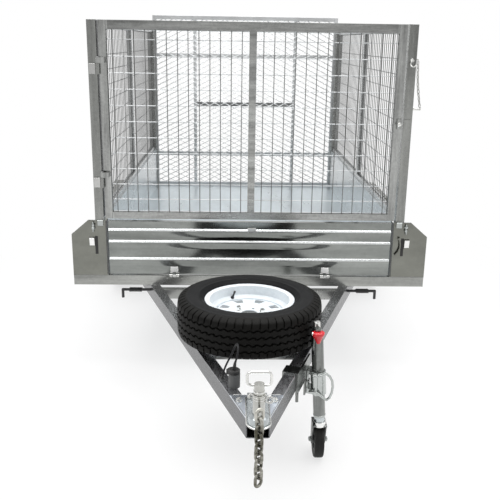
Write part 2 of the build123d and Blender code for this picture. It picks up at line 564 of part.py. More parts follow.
def cyl(x, y, z, r, h):
    return Pos(x, y, z) * Cylinder(r, h, align=(Align.CENTER, Align.CENTER, Align.MIN))


# a long bracket: a side plate on the member's outer face with a strap over
# the member at its front end and a bolt below
outer_plate = bx(-178, 34, DIST, DIST - 7, 366, 447)
strap = bx(-178, -118, DIST - 8, DIST + DB_W + 8, 450.0, 456)
strap = strap + bx(-178, -118, DIST - 8, DIST, 440, 456)
inner_plate = bx(-178, -118, DIST + DB_W, DIST + DB_W + 8, 398, 456)
bolt = cyl(-164, DIST - 3.5, 334, 6, 34)
boss = Pos(0, DIST - 6, JK_PIVOT_Z) * Rot(90, 0, 0) * cyl(0, 0, 0, 12, 9.5)
hanger = bx(-40, 34, DIST, DIST - 7, 300, 370)
tab = bx(10, 18, DIST + DB_W + 0.1, DIST + DB_W + 16, 400, 452)
put("jockey_mount_plate", ju(fused(outer_plate, hanger, strap, inner_plate, bolt, boss)), ju(tab))
# swinging clamp: disc on the pivot, top and bottom plates and a split sleeve round the tube
disc = Pos(0, DIST - 8.5, JK_PIVOT_Z) * Rot(90, 0, 0) * cyl(0, 0, 0, 32, 5)
arms = [bx(-26, 26, 14, DIST - 10, z0, z1) for z0, z1 in ((302, 322), (390, 398))]
web = bx(-26, 26, DIST - 13.5, DIST - 8.5, 302, 398)
sleeve = cyl(0, 0, 300, JK_TUBE_R + 6, 96)
clampbody = fused(disc, web, *arms, JKU.location.inverse() * JKP.location * sleeve, bx(-46, -22, -4, 4, 306, 388))
clampbody = clampbody - JKU.location.inverse() * JKP.location * cyl(0, 0, 280, JK_TUBE_R, 140)
clampbody = clampbody - Pos(0, DIST, JK_PIVOT_Z) * Rot(90, 0, 0) * cyl(0, 0, 0, 12.4, 30)

tube = cyl(0, 0, JT0, JK_TUBE_R, JT1 - JT0) - cyl(0, 0, JT0 - 1, 21.4, JT1 - JT0 - 5)
CR_ANG = math.degrees(math.atan2(-12, -34))
arm = Rot(0, 0, CR_ANG) * bx(-10, 40, -9, 9, JT1 + 14, JT1 + 24)
crank = fused(cyl(0, 0, JT1 - 1, 18, 16), arm, cyl(0, 0, JT1 + 23, 12, 17))
put("jockey_outer_tube", jk(fused(tube, crank)))
# swing-lock handle: a bent round bar that stands across the front of the clamp
RODR = 5.0
hp = [(-30, 30, 394), (-46, 12, 393), (-47, -4, 391), (-41, -22, 395), (-35, -36, 404), (-30, -50, 392), (-27, -60, 372), (-26, -63, 348),
      (-27, -60, 322), (-30, -52, 300), (-33, -42, 291), (-37, -28, 300), (-42, -12, 314), (-47, 4, 324), (-40, 20, 318), (-28, 28, 314)]
handle = None
for a, b in zip(hp, hp[1:]):
    piece = rod(a, b, RODR)
    handle = piece if handle is None else handle + piece
for p in hp[1:-1]:
    handle = handle + Pos(*p) * Sphere(RODR)
put("jockey_clamp", ju(fused(clampbody, handle)))
# grip of the folded crank, hanging in front of the tube
grip = Pos(36, 0, JT1 - 34) * Cone(7, 25.5, 40, align=(Align.CENTER, Align.CENTER, Align.MIN))
grip = grip + cyl(36, 0, JT1 + 6, 25.5, 4) + cyl(36, 0, JT1 + 9, 11, 4.9)
grip = grip & bx(24.8, 90, -60, 60, 500, 620)
put("jockey_grip", jk(Rot(0, 0, CR_ANG) * grip))
inner = cyl(0, 0, FORK_TOP + 12, 20.8, 320) - cyl(0, 0, FORK_TOP + 24, 17.5, 320)
put("jockey_inner_tube", jk(inner))
# the fork and wheel stand square to the trailer
FK0, FK1 = -JK_WHEEL_W / 2 - 8, JK_WHEEL_W / 2 + 8
wy = JK_Y + JK_TRAIL
fork_top = bx(JK_X + FK0, JK_X + FK1, JK_Y - 21, JK_Y + 56, FORK_TOP, FORK_TOP + 5)
stem = jk(cyl(0, 0, FORK_TOP - 1, 23, 12.0))
ear = along_y([(JK_X - 31, 150), (JK_X - 28, 150), (JK_X - 28.5, 180), (JK_X - 31.5, 180)], JK_Y - 18, JK_Y + 18)
cheek_pts = [(JK_Y - 14, FORK_TOP + 4), (JK_Y + 50, FORK_TOP + 4), (wy + 17, 68), (wy + 8, 58), (wy - 8, 58), (wy - 17, 68)]
fork = fused(fork_top, stem, ear, along_x(cheek_pts, JK_X + FK0, JK_X + FK0 + 4), along_x(cheek_pts, JK_X + FK1 - 4, JK_X + FK1),
             rod((JK_X + FK0 - 8, wy, JK_WHEEL_R), (JK_X + FK1 + 8, wy, JK_WHEEL_R), 6))
put("jockey_fork", fork)
jw = turned([(6.5, -JK_WHEEL_W / 2), (62, -JK_WHEEL_W / 2), (71, -JK_WHEEL_W / 2 + 1), (JK_WHEEL_R, -JK_WHEEL_W / 2 + 5),
             (JK_WHEEL_R, JK_WHEEL_W / 2 - 5), (71, JK_WHEEL_W / 2 - 1), (62, JK_WHEEL_W / 2), (6.5, JK_WHEEL_W / 2)], "x")
put("jockey_wheel", Pos(JK_X, wy, JK_WHEEL_R) * jw)

# ------------------------------------------------------------------
# plug, its holder and the cable; hooks under the beam
# ------------------------------------------------------------------
PH_X, PH_Y = -78.0, -1105.0
holder = cyl(PH_X, PH_Y, 450, 21, 52) - cyl(PH_X, PH_Y, 455, 15.4, 60)
put("plug_holder", holder)
plug = cyl(PH_X, PH_Y, 458, 15, 46) + cyl(PH_X, PH_Y, 504, 19, 12) + cyl(PH_X, PH_Y, 516, 8, 4)
put("trailer_plug", plug)
# grommet on top of the left member, where the cable comes out of it
GR_X, GR_Y, GR_TOP = -121.0, -1064.0, 459.0
put("plug_holder", cyl(GR_X, GR_Y, 450, 8, GR_TOP - 450))
# the plug's cable: out of the member, up in front of the spare tyre and
# over in one slack loop, then down into the plug
CABLE_R = 3.5
ROUTE = [(-121, -1064, 459.4), (-119.5, -1062, 481), (-106, -1047, 512), (-88, -1034, 541), (-76, -1031, 573), (-69, -1053, 595),
         (-65, -1085.5, 595), (-67, -1107, 572), (-76.5, -1105.5, 539), (-78, -1105, 520.4)]


def cord_tube(route, r):
    """A round tube along straight runs joined by tangent arcs, as large as the runs allow."""
    pts = [Vector(*p) for p in route]
    runs = [(b - a).length for a, b in zip(pts, pts[1:])]
    radii = []
    for k in range(1, len(pts) - 1):
        turn = (pts[k] - pts[k - 1]).get_angle(pts[k + 1] - pts[k])
        radii.append(0.45 * min(runs[k - 1], runs[k]) / math.tan(math.radians(turn) / 2))
    print("cable runs", [round(v) for v in runs], "radii", [round(v) for v in radii])
    path = FilletPolyline(*pts, radius=radii)
    start = Plane(origin=pts[0], z_dir=pts[1] - pts[0])
    tube = sweep(start * Circle(r), path=path, transition=Transition.RIGHT)
    print("cable length", round(path.length), "volume ratio", tube.volume / (math.pi * r * r * path.length))
    return tube


put("plug_cable", cord_tube(ROUTE, CABLE_R))

for side, s in SIDES:
    x0 = s * (db_outer(20) - 8)
    put("rope_hooks", fused(rod((x0, 20, 418), (s * 642, 20, 418), 7), Pos(s * 642, 20, 418) * Sphere(7),
                                   rod((s * 642, 20, 418), (s * 642, 20, 376), 7)) - prism([
        (s * (db_outer(-40)), -40), (s * db_outer(80), 80), (s * (db_inner(80) - 40), 80), (s * (db_inner(-40) - 40), -40)], 370, 450))

os.makedirs("parts", exist_ok=True)
for old in os.listdir("parts"):
    if old.endswith(".step"):
        os.remove(os.path.join("parts", old))
for name, solids in parts.items():
    moved = [Pos(0, Y_SHIFT, 0) * s for s in solids]
    shape = moved[0] if len(moved) == 1 else Compound(children=moved)
    export_step(shape, os.path.join("parts", name + ".step"))
box = Compound(children=[Pos(0, Y_SHIFT, 0) * s for v in parts.values() for s in v]).bounding_box()
print("nodes", len(parts), "shift", Y_SHIFT)
print("size", box.min, box.max)
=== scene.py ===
"""The looks of a galvanised cage trailer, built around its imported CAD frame."""
import bpy
import json
import math
import random
import numpy as np
from mathutils import Matrix, Vector


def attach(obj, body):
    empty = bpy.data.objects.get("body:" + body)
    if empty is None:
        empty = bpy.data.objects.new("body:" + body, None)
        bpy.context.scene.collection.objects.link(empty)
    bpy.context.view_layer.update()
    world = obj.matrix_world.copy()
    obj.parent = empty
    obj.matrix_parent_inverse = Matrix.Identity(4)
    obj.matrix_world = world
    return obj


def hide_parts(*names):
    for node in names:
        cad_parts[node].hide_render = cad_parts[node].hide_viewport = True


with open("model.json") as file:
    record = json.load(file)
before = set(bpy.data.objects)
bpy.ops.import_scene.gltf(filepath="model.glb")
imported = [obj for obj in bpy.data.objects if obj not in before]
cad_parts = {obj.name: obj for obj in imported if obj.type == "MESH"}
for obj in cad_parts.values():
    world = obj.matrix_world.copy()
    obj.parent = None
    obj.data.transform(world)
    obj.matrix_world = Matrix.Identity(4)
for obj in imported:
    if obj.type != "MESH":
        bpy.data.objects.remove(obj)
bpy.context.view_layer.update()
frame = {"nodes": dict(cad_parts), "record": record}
random.seed(11)
NODES = frame["nodes"]
SHIFT = -522.0                      # the CAD's own y, in mm, to the row frame


def L(x, y, z):
    """A place in the CAD's own millimetres, in the row frame's metres."""
    return Vector((x / 1000.0, (y + SHIFT) / 1000.0, z / 1000.0))


# ------------------------------------------------------------------
# camera
# ------------------------------------------------------------------
scene = bpy.context.scene
psi, th, ph = math.radians(1.4774), math.radians(16.230), math.radians(0.873)
right = Vector((math.cos(psi), -math.sin(psi), 0))
fw = Vector((math.sin(psi) * math.cos(th), math.cos(psi) * math.cos(th), -math.sin(th)))
up = right.cross(fw)
rx = math.cos(ph) * right + math.sin(ph) * up
ux = -math.sin(ph) * right + math.cos(ph) * up
cam_data = bpy.data.cameras.new("view")
cam_data.sensor_fit = "HORIZONTAL"
cam_data.sensor_width = 36.0
cam_data.lens = 51.765
cam_data.clip_start, cam_data.clip_end = 0.05, 200.0
cam = bpy.data.objects.new("view", cam_data)
scene.collection.objects.link(cam)
cam.matrix_world = Matrix(((rx.x, ux.x, -fw.x, -0.08923), (rx.y, ux.y, -fw.y, -3.9640), (rx.z, ux.z, -fw.z, 1.6395), (0, 0, 0, 1)))
scene.camera = cam


# ------------------------------------------------------------------
# materials
# ------------------------------------------------------------------
class Mat:
    """A node material with a few helpers."""

    def __init__(self, name):
        self.m = bpy.data.materials.new(name)
        self.m.use_nodes = True
        self.nt = self.m.node_tree
        self.b = self.nt.nodes["Principled BSDF"]
        self.tc = self.nt.nodes.new("ShaderNodeTexCoord")

    def node(self, kind, **props):
        n = self.nt.nodes.new(kind)
        for k, v in props.items():
            setattr(n, k, v)
        return n

    def link(self, a, b):
        self.nt.links.new(a, b)

    def coord(self, scale=(1, 1, 1), rot=(0, 0, 0)):
        mp = self.node("ShaderNodeMapping")
        mp.inputs["Scale"].default_value = scale
        mp.inputs["Rotation"].default_value = rot
        self.link(self.tc.outputs["Object"], mp.inputs["Vector"])
        return mp.outputs["Vector"]

    def noise(self, scale, detail=4.0, rough=0.55, vec=None, distort=0.0):
        n = self.node("ShaderNodeTexNoise")
        n.inputs["Scale"].default_value = scale
        n.inputs["Detail"].default_value = detail
        n.inputs["Roughness"].default_value = rough
        n.inputs["Distortion"].default_value = distort
        self.link(vec if vec is not None else self.tc.outputs["Object"], n.inputs["Vector"])
        return n.outputs["Fac"]

    def cells(self, scale, vec=None, rnd=1.0):
        n = self.node("ShaderNodeTexVoronoi")
        n.inputs["Scale"].default_value = scale
        n.inputs["Randomness"].default_value = rnd
        self.link(vec if vec is not None else self.tc.outputs["Object"], n.inputs["Vector"])
        s = self.node("ShaderNodeSeparateColor")
        self.link(n.outputs["Color"], s.inputs["Color"])
        return s.outputs["Red"], s.outputs["Green"]

    def math(self, op, a, b=None):
        n = self.node("ShaderNodeMath", operation=op)
        for k, v in enumerate((a, b)):
            if v is None:
                continue
            if isinstance(v, (int, float)):
                n.inputs[k].default_value = v
            else:
                self.link(v, n.inputs[k])
        return n.outputs[0]

    def weigh(self, *pairs):
        """The sum of value times weight."""
        out = None
        for v, w in pairs:
            t = self.math("MULTIPLY", v, w)
            out = t if out is None else self.math("ADD", out, t)
        return out

    def remap(self, v, a, b, c, d):
        n = self.node("ShaderNodeMapRange")
        for k, x in zip(("From Min", "From Max", "To Min", "To Max"), (a, b, c, d)):
            n.inputs[k].default_value = x
        self.link(v, n.inputs["Value"])
        return n.outputs["Result"]

    def ramp(self, v, stops):
        n = self.node("ShaderNodeValToRGB")
        e = n.color_ramp.elements
        while len(e) < len(stops):
            e.new(0.5)
        for el, (p, c) in zip(e, stops):
            el.position = p
            el.color = (*c, 1)
        self.link(v, n.inputs["Fac"])
        return n.outputs["Color"]

    def mix(self, f, a, b):
        n = self.node("ShaderNodeMix", data_type="RGBA")
        self.link(f, n.inputs[0])
        for k, v in ((6, a), (7, b)):
            if isinstance(v, tuple):
                n.inputs[k].default_value = (*v, 1)
            else:
                self.link(v, n.inputs[k])
        return n.outputs[2]

    def bump(self, height, strength, distance):
        n = self.node("ShaderNodeBump")
        n.inputs["Strength"].default_value = strength
        n.inputs["Distance"].default_value = distance
        self.link(height, n.inputs["Height"])
        self.link(n.outputs["Normal"], self.b.inputs["Normal"])
        return n

    def set(self, **kw):
        for k, v in kw.items():
            key = k.replace("_", " ")
            s = self.b.inputs[key]
            if hasattr(v, "is_linked") or hasattr(v, "links"):
                self.link(v, s)
            else:
                s.default_value = (*v, 1) if isinstance(v, tuple) and len(v) == 3 else v
        return self


def galvanised(name, base, var=0.14, spangle=0.010, show=0.03, rough=(0.20, 0.34), streak=(1, 1, 1), tint=(1.0, 1.0, 1.0), grain=0.03,
               split=None, side_shade=None, band=None):
    """Hot-dip zinc: a soft cloudy tone, a faint spangle, drawn-out streaks and a roughness that drifts with them.
    split=(x, scale) runs the streaks the other way where |x| is over x; a side shade darkens every face but the upper
    ones, painted shade that leaves the tops lighter as if lit from above;
    band=(z, half, tone) darkens the colour in a band at one height."""
    m = Mat(name)
    r, g = m.cells(1 / spangle)
    v = m.coord(streak)
    big = m.noise(2.6, 4.0, 0.55, v, 0.4)
    mid = m.noise(17.0, 4.0, 0.5, v)
    if split:
        w = m.coord(split[1])
        sx = m.node("ShaderNodeSeparateXYZ")
        m.link(m.tc.outputs["Object"], sx.inputs["Vector"])
        on = m.math("GREATER_THAN", m.math("ABSOLUTE", sx.outputs["X"]), split[0])
        off = m.math("SUBTRACT", 1.0, on)
        big = m.math("ADD", m.math("MULTIPLY", big, off), m.math("MULTIPLY", m.noise(2.6, 4.0, 0.55, w, 0.4), on))
        mid = m.math("ADD", m.math("MULTIPLY", mid, off), m.math("MULTIPLY", m.noise(17.0, 4.0, 0.5, w), on))
    f = m.weigh((big, 0.78 - show * 2), (mid, 0.22), (r, show * 2))
    lo = tuple(c * t * (1 - var) for c, t in zip(base, tint))
    hi = tuple(min(1.0, c / t * (1 + var)) for c, t in zip(base, tint))
    colour = m.ramp(f, [(0.32, lo), (0.50, base), (0.68, hi)])
    # painted shade: faces that do not point up take a darker copy of the colour, so the tops read as lit
    if side_shade:
        nz = m.node("ShaderNodeSeparateXYZ")
        m.link(m.tc.outputs["Normal"], nz.inputs["Vector"])
        darker_colour = m.ramp(f, [(0.32, tuple(c * side_shade * (1 - var) for c in base)), (0.68, tuple(c * side_shade * (1 + var) for c in base))])
        colour = m.mix(m.remap(nz.outputs["Z"], 0.15, 0.85, 0.0, 1.0), darker_colour, colour)
    if band:
        bz = m.node("ShaderNodeSeparateXYZ")
        m.link(m.tc.outputs["Object"], bz.inputs["Vector"])
        far = m.math("MAXIMUM", m.math("ABSOLUTE", m.math("SUBTRACT", bz.outputs["Z"], band[0])),
                     m.math("SUBTRACT", m.math("ABSOLUTE", bz.outputs["X"]), 0.364))
        darker_colour = m.ramp(f, [(0.32, tuple(c * band[2] * (1 - var) for c in base)), (0.68, tuple(c * band[2] * (1 + var) for c in base))])
        colour = m.mix(m.remap(far, band[1], band[1] + 0.004, 0.0, 1.0), darker_colour, colour)
    m.set(Base_Color=colour, Metallic=1.0)
    m.set(Roughness=m.remap(m.weigh((mid, 0.45), (big, 0.45), (g, 0.10)), 0.25, 0.75, rough[0], rough[1]))
    m.bump(m.weigh((m.noise(210.0, 2.0), 0.6), (mid, 0.4)), grain, 0.0006)
    return m.m


UP, ALONG = (9.0, 9.0, 0.8), (0.8, 9.0, 9.0)        # streaks that run up a post, or along a beam
GALV = galvanised("galvanised_tube", (0.330, 0.335, 0.325), 0.22)
POSTS = galvanised("galvanised_post", (0.285, 0.290, 0.278), 0.32, streak=UP)
BEAM_X = galvanised("galvanised_beam", (0.330, 0.336, 0.320), 0.28, streak=ALONG, rough=(0.16, 0.28))
GATE_TUBE = galvanised("galvanised_gate", (0.370, 0.376, 0.366), 0.42, streak=ALONG, split=(0.668, UP), rough=(0.17, 0.30))
GALV_DARK = galvanised("galvanised_dull", (0.150, 0.153, 0.150), 0.25, rough=(0.30, 0.48))
# drawbar members: lighter tops and darker sides, painted light and shade
MEMBER = galvanised("galvanised_member", (0.560, 0.565, 0.585), 0.22, rough=(0.20, 0.34), streak=(6.0, 0.9, 6.0), side_shade=0.22)
SHEET = galvanised("galvanised_sheet", (0.205, 0.208, 0.186), 0.20, spangle=0.016, rough=(0.16, 0.26), streak=(0.7, 1.6, 1.6))
WALL = galvanised("galvanised_wall", (0.60, 0.63, 0.645), 0.14, spangle=0.016, rough=(0.22, 0.36), streak=(1.6, 0.7, 1.6))
FLOOR = galvanised("galvanised_floor", (0.70, 0.765, 0.80), 0.10, spangle=0.020, rough=(0.24, 0.40), streak=(2.0, 0.5, 1.0))
GATE_SHEET = galvanised("galvanised_pressed", (0.250, 0.262, 0.250), 0.30, spangle=0.014, rough=(0.09, 0.17), streak=(0.5, 3.0, 3.0),
                        show=0.02, grain=0.02)
# one wire zinc in two tones: a lighter copy for the level wires as painted highlight, a darker copy for the uprights as
# painted shade
WIRE = galvanised("galvanised_wire", (0.62, 0.63, 0.635), 0.16, spangle=0.006, rough=(0.26, 0.42))
WIRE_SHADED = galvanised("galvanised_wire_painted_shade", (0.200, 0.203, 0.200), 0.24, spangle=0.006, rough=(0.30, 0.46))
RAMP_FINISH = galvanised("galvanised_ramp", (0.44, 0.45, 0.455), 0.18, rough=(0.28, 0.42))
RAMP_TUBE = galvanised("galvanised_ramp_tube", (0.68, 0.69, 0.695), 0.18, rough=(0.28, 0.42), band=(1.145, 0.016, 0.35))
FRAME_SIDE = galvanised("galvanised_cage", (0.50, 0.51, 0.51), 0.20, rough=(0.20, 0.34), streak=(3.0, 0.8, 3.0))
COUPLING = galvanised("zinc_plated", (0.50, 0.535, 0.545), 0.18, spangle=0.009, rough=(0.18, 0.32))
LOCK = galvanised("zinc_lock", (0.56, 0.56, 0.53), 0.16, spangle=0.007, rough=(0.20, 0.34))
BRIGHT = galvanised("bright_zinc", (0.78, 0.78, 0.76), 0.12, spangle=0.005, rough=(0.16, 0.30))
PLATE_STEEL = galvanised("coupling_steel", (0.68, 0.73, 0.80), 0.12, rough=(0.22, 0.36))
JOCKEY = galvanised("jockey_steel", (0.22, 0.228, 0.220), 0.34, rough=(0.16, 0.30), streak=(14, 14, 0.8))
JOCKEY_LIGHT = galvanised("jockey_plated", (0.42, 0.44, 0.43), 0.26, rough=(0.18, 0.30))
# zinc for small tabs, keeps, hinge leaves and the jockey collar, made near white as a painted highlight of their glint
TAB_HIGHLIGHT = galvanised("zinc_painted_highlight", (0.86, 0.86, 0.85), 0.08, spangle=0.005, rough=(0.22, 0.38))
# near-white zinc for strips along the drop gate's crests: a painted highlight
CREST_HIGHLIGHT = galvanised("crest_painted_highlight", (0.80, 0.82, 0.82), 0.10, spangle=0.008, rough=(0.20, 0.32), streak=ALONG)
HINGE_FINISH = galvanised("hinge_zinc", (0.50, 0.50, 0.49), 0.20, rough=(0.20, 0.34))
BEAD = galvanised("weld_bead", (0.30, 0.303, 0.300), 0.30, spangle=0.004, rough=(0.28, 0.44), grain=0.12)


def rubber(name, dark, light, rough, grain=260.0, dust=None):
    m = Mat(name)
    big, fine = m.noise(9.0, 5.0, 0.6), m.noise(grain, 3.0)
    c = m.ramp(m.weigh((big, 0.6), (fine, 0.4)), [(0.32, dark), (0.70, light)])
    if dust:
        c = m.mix(m.remap(m.noise(4.0, 6.0, 0.65, distort=0.6), 0.52, 0.80, 0.0, 0.35), c, dust)
    m.set(Base_Color=c, Roughness=m.remap(big, 0.25, 0.75, rough[0], rough[1]), Specular_IOR_Level=0.14)
    m.bump(m.weigh((fine, 0.7), (big, 0.3)), 0.12, 0.0007)
    return m.m


TYRE_MAT = rubber("tyre_rubber", (0.0030, 0.0029, 0.0025), (0.0078, 0.0074, 0.0064), (0.50, 0.68))
WALL_MAT = rubber("tyre_sidewall", (0.0034, 0.0036, 0.0040), (0.0080, 0.0084, 0.0090), (0.46, 0.60))
SOLID_RUBBER = rubber("solid_rubber", (0.014, 0.014, 0.014), (0.032, 0.032, 0.032), (0.45, 0.65), dust=(0.09, 0.085, 0.075))
JACKET = rubber("cable_jacket", (0.012, 0.012, 0.013), (0.026, 0.026, 0.028), (0.30, 0.45), grain=600.0)


def plastic(name, dark, light, rough, coat=0.0, grain=500.0):
    m = Mat(name)
    big, fine = m.noise(22.0, 4.0, 0.6), m.noise(grain, 2.0)
    m.set(Base_Color=m.ramp(m.weigh((big, 0.7), (fine, 0.3)), [(0.30, dark), (0.72, light)]),
          Roughness=m.remap(big, 0.25, 0.75, rough[0], rough[1]), Coat_Weight=coat, Coat_Roughness=0.12)
    m.bump(fine, 0.07, 0.0004)
    return m.m


RED = plastic("red_plastic", (0.52, 0.006, 0.012), (0.80, 0.020, 0.035), (0.20, 0.34), 0.3)
BLACK = plastic("black_plastic", (0.012, 0.012, 0.012), (0.028, 0.028, 0.028), (0.35, 0.50))
GREY = plastic("grey_plastic", (0.060, 0.062, 0.062), (0.115, 0.118, 0.118), (0.40, 0.55))
LENS = plastic("lamp_lens_red", (0.35, 0.004, 0.006), (0.58, 0.012, 0.014), (0.10, 0.20), 0.6)
LENS_AMBER = plastic("lamp_lens_amber", (0.62, 0.17, 0.01), (0.80, 0.26, 0.02), (0.10, 0.20), 0.6)
PLATE = plastic("plate_bare", (0.62, 0.62, 0.60), (0.76, 0.76, 0.74), (0.26, 0.38))

m = Mat("white_paint")
big = m.noise(6.0, 5.0, 0.6)
m.set(Base_Color=m.ramp(m.weigh((big, 0.7), (m.noise(90.0, 3.0), 0.3)), [(0.30, (0.66, 0.72, 0.76)), (0.62, (0.84, 0.88, 0.91))]),
      Roughness=m.remap(big, 0.25, 0.75, 0.22, 0.36), Coat_Weight=0.35, Coat_Roughness=0.10)
m.bump(m.noise(240.0, 3.0), 0.06, 0.0005)
WHITE = m.m

m = Mat("dark_chain")
big, fine = m.noise(16.0, 5.0, 0.65), m.noise(160.0, 4.0, 0.6)
zz = m.node("ShaderNodeSeparateXYZ")
m.link(m.tc.outputs["Object"], zz.inputs["Vector"])
# wear from the noise, plus a lighter colour for links above 0.475 m: the chain gets lighter towards its top
wear_and_top_lightening = m.math("MINIMUM", m.math("ADD", m.remap(m.weigh((big, 0.7), (fine, 0.3)), 0.45, 0.66, 0.0, 0.8), m.remap(zz.outputs["Z"], 0.475, 0.515, 0.0, 1.0)), 1.0)
m.set(Base_Color=m.mix(wear_and_top_lightening, m.ramp(fine, [(0.3, (0.060, 0.057, 0.040)), (0.7, (0.12, 0.115, 0.085))]), (0.58, 0.57, 0.52)), Metallic=0.85,
      Roughness=m.remap(fine, 0.3, 0.7, 0.30, 0.52))
m.bump(fine, 0.25, 0.0008)
CHAIN = m.m

CHAIN_SMALL = galvanised("small_chain_zinc", (0.42, 0.42, 0.40), 0.35, spangle=0.004, rough=(0.22, 0.40))

m = Mat("black_paint")
big, fine = m.noise(30.0, 5.0, 0.6), m.noise(300.0, 3.0)
m.set(Base_Color=m.ramp(big, [(0.35, (0.014, 0.014, 0.015)), (0.75, (0.040, 0.040, 0.042))]), Roughness=m.remap(big, 0.25, 0.75, 0.28, 0.45))
m.bump(fine, 0.12, 0.0005)
BLACK_PAINT = m.m


# ------------------------------------------------------------------
# mesh building, in the CAD's own millimetres
# ------------------------------------------------------------------
class Build:
    def __init__(self):
        self.v, self.f = [], []

    def add(self, verts, faces):
        o = len(self.v)
        self.v.extend([tuple(p) for p in verts])
        self.f.extend([tuple(o + i for i in q) for q in faces])
        return self

    def box(self, x0, x1, y0, y1, z0, z1, c=0.8, M=None):
        """A box with its edges and corners cut back by c."""
        lo, hi = (min(x0, x1), min(y0, y1), min(z0, z1)), (max(x0, x1), max(y0, y1), max(z0, z1))
        c = min(c, 0.45 * min(h - l for l, h in zip(lo, hi)))
        verts, idx = [], {}
        for sx in (0, 1):
            for sy in (0, 1):
                for sz in (0, 1):
                    s = (sx, sy, sz)
                    for ax in range(3):
                        p = []
                        for k in range(3):
                            base = hi[k] if s[k] else lo[k]
                            p.append(base if k == ax else base + (-c if s[k] else c))
                        idx[(s, ax)] = len(verts)
                        verts.append(p)
        faces = []
        for ax in range(3):
            a, b = (ax + 1) % 3, (ax + 2) % 3
            for sg in (0, 1):
                ring = []
                for ua, ub in ((0, 0), (1, 0), (1, 1), (0, 1)):
                    s = [0, 0, 0]
                    s[ax], s[a], s[b] = sg, ua, ub
                    ring.append(idx[(tuple(s), ax)])
                faces.append(ring if sg else ring[::-1])
            for ua in (0, 1):                      # edges along ax
                for ub in (0, 1):
                    s0, s1 = [0, 0, 0], [0, 0, 0]
                    s0[a] = s1[a] = ua
                    s0[b] = s1[b] = ub
                    s1[ax] = 1
                    q = [idx[(tuple(s0), a)], idx[(tuple(s1), a)], idx[(tuple(s1), b)], idx[(tuple(s0), b)]]
                    faces.append(q if ua != ub else q[::-1])
        for sx in (0, 1):
            for sy in (0, 1):
                for sz in (0, 1):
                    s = (sx, sy, sz)
                    t = [idx[(s, 0)], idx[(s, 1)], idx[(s, 2)]]
                    faces.append(t if (sx + sy + sz) % 2 else t[::-1])
        if M is not None:
            verts = [M @ Vector(p) for p in verts]
        return self.add(verts, faces)

    def tube(self, pts, r, n=10, closed=False, radii=None, cap=True):
        """A round bar through points, with mitred corners."""
        P = [Vector(p) for p in pts]
        k = len(P)
        tang = []
        for i in range(k):
            a = P[i - 1] if (i > 0 or closed) else P[i]
            b = P[(i + 1) % k] if (i < k - 1 or closed) else P[i]
            tang.append((b - a).normalized())
        ref = Vector((0, 0, 1)) if abs(tang[0].z) < 0.9 else Vector((1, 0, 0))
        nrm = (ref - tang[0] * ref.dot(tang[0])).normalized()
        verts, faces = [], []
        for i in range(k):
            t = tang[i]
            nrm = (nrm - t * nrm.dot(t)).normalized()
            bi = t.cross(nrm)
            rr = radii[i] if radii else r
            for j in range(n):
                a = 2 * math.pi * j / n
                verts.append(P[i] + nrm * (rr * math.cos(a)) + bi * (rr * math.sin(a)))
        for i in range(k - (0 if closed else 1)):
            for j in range(n):
                a, b = i * n + j, i * n + (j + 1) % n
                c, d = ((i + 1) % k) * n + (j + 1) % n, ((i + 1) % k) * n + j
                faces.append((a, b, c, d))
        if cap and not closed:
            faces.append(tuple(range(n))[::-1])
            faces.append(tuple(range((k - 1) * n, k * n)))
        return self.add(verts, faces)

    def rod(self, p, q, r, n=14, c=0.7):
        """A round bar with chamfered ends."""
        p, q = Vector(p), Vector(q)
        d = (q - p).normalized()
        return self.tube([p, p + d * c, q - d * c, q], r, n, radii=[r - c, r, r, r - c])

    def lathe(self, profile, M, n=32, closed=False):
        """An (radius, height) outline turned about M's z axis."""
        verts, faces = [], []
        k = len(profile)
        for j in range(n):
            a = 2 * math.pi * j / n
            for r, h in profile:
                verts.append(M @ Vector((r * math.cos(a), r * math.sin(a), h)))
        for j in range(n):
            for i in range(k if closed else k - 1):
                a, b = j * k + i, j * k + (i + 1) % k
                c, d = ((j + 1) % n) * k + (i + 1) % k, ((j + 1) % n) * k + i
                faces.append((a, d, c, b))
        return self.add(verts, faces)

    def hexa(self, p, axis, af, h, washer=0.0, stud=0.0, turn=0.0, n_w=20):
        """A hex nut or head standing on p, with a washer under it and a stud end over it."""
        M = frame_at(p, axis)
        z = 0.0
        if washer:
            self.lathe([(0, 0), (washer - 0.3, 0), (washer, 0.4), (washer, 1.6), (washer - 0.4, 2.0), (0, 2.0)], M, n_w)
            z = 2.0
        R = af / math.sqrt(3)
        verts, faces = [], []
        for zz, rr in ((z, R * 0.94), (z + h * 0.14, R), (z + h * 0.86, R), (z + h, R * 0.90)):
            for j in range(6):
                a = turn + math.pi / 3 * j
                verts.append(M @ Vector((rr * math.cos(a), rr * math.sin(a), zz)))
        for i in range(3):
            for j in range(6):
                faces.append((i * 6 + j, i * 6 + (j + 1) % 6, (i + 1) * 6 + (j + 1) % 6, (i + 1) * 6 + j))
        faces.append(tuple(range(18, 24)))
        faces.append(tuple(range(6))[::-1])
        self.add(verts, faces)
        if stud:
            s = af * 0.30
            self.lathe([(0, z + h - 0.2), (s, z + h - 0.2), (s, z + h + stud - 0.8), (s - 0.8, z + h + stud), (0, z + h + stud)], M, 12)
        return self

    def bead(self, p, q, r, seed=0, step=2.2):
        """A weld bead: a run of overlapping ripples from p to q."""
        p, q = Vector(p), Vector(q)
        n = max(3, int((q - p).length / step))
        rnd = random.Random(seed + int(p.x * 7 + p.y * 13 + p.z * 17))
        pts, rad = [], []
        for i in range(n + 1):
            t = i / n
            wob = Vector((rnd.uniform(-1, 1), rnd.uniform(-1, 1), rnd.uniform(-1, 1))) * r * 0.10
            pts.append(p.lerp(q, t) + wob)
            e = 0.55 if i in (0, n) else 1.0
            rad.append(r * e * (1.0 + (0.16 if i % 2 else -0.10) + rnd.uniform(-0.07, 0.07)))
        return self.tube(pts, r, 7, radii=rad)


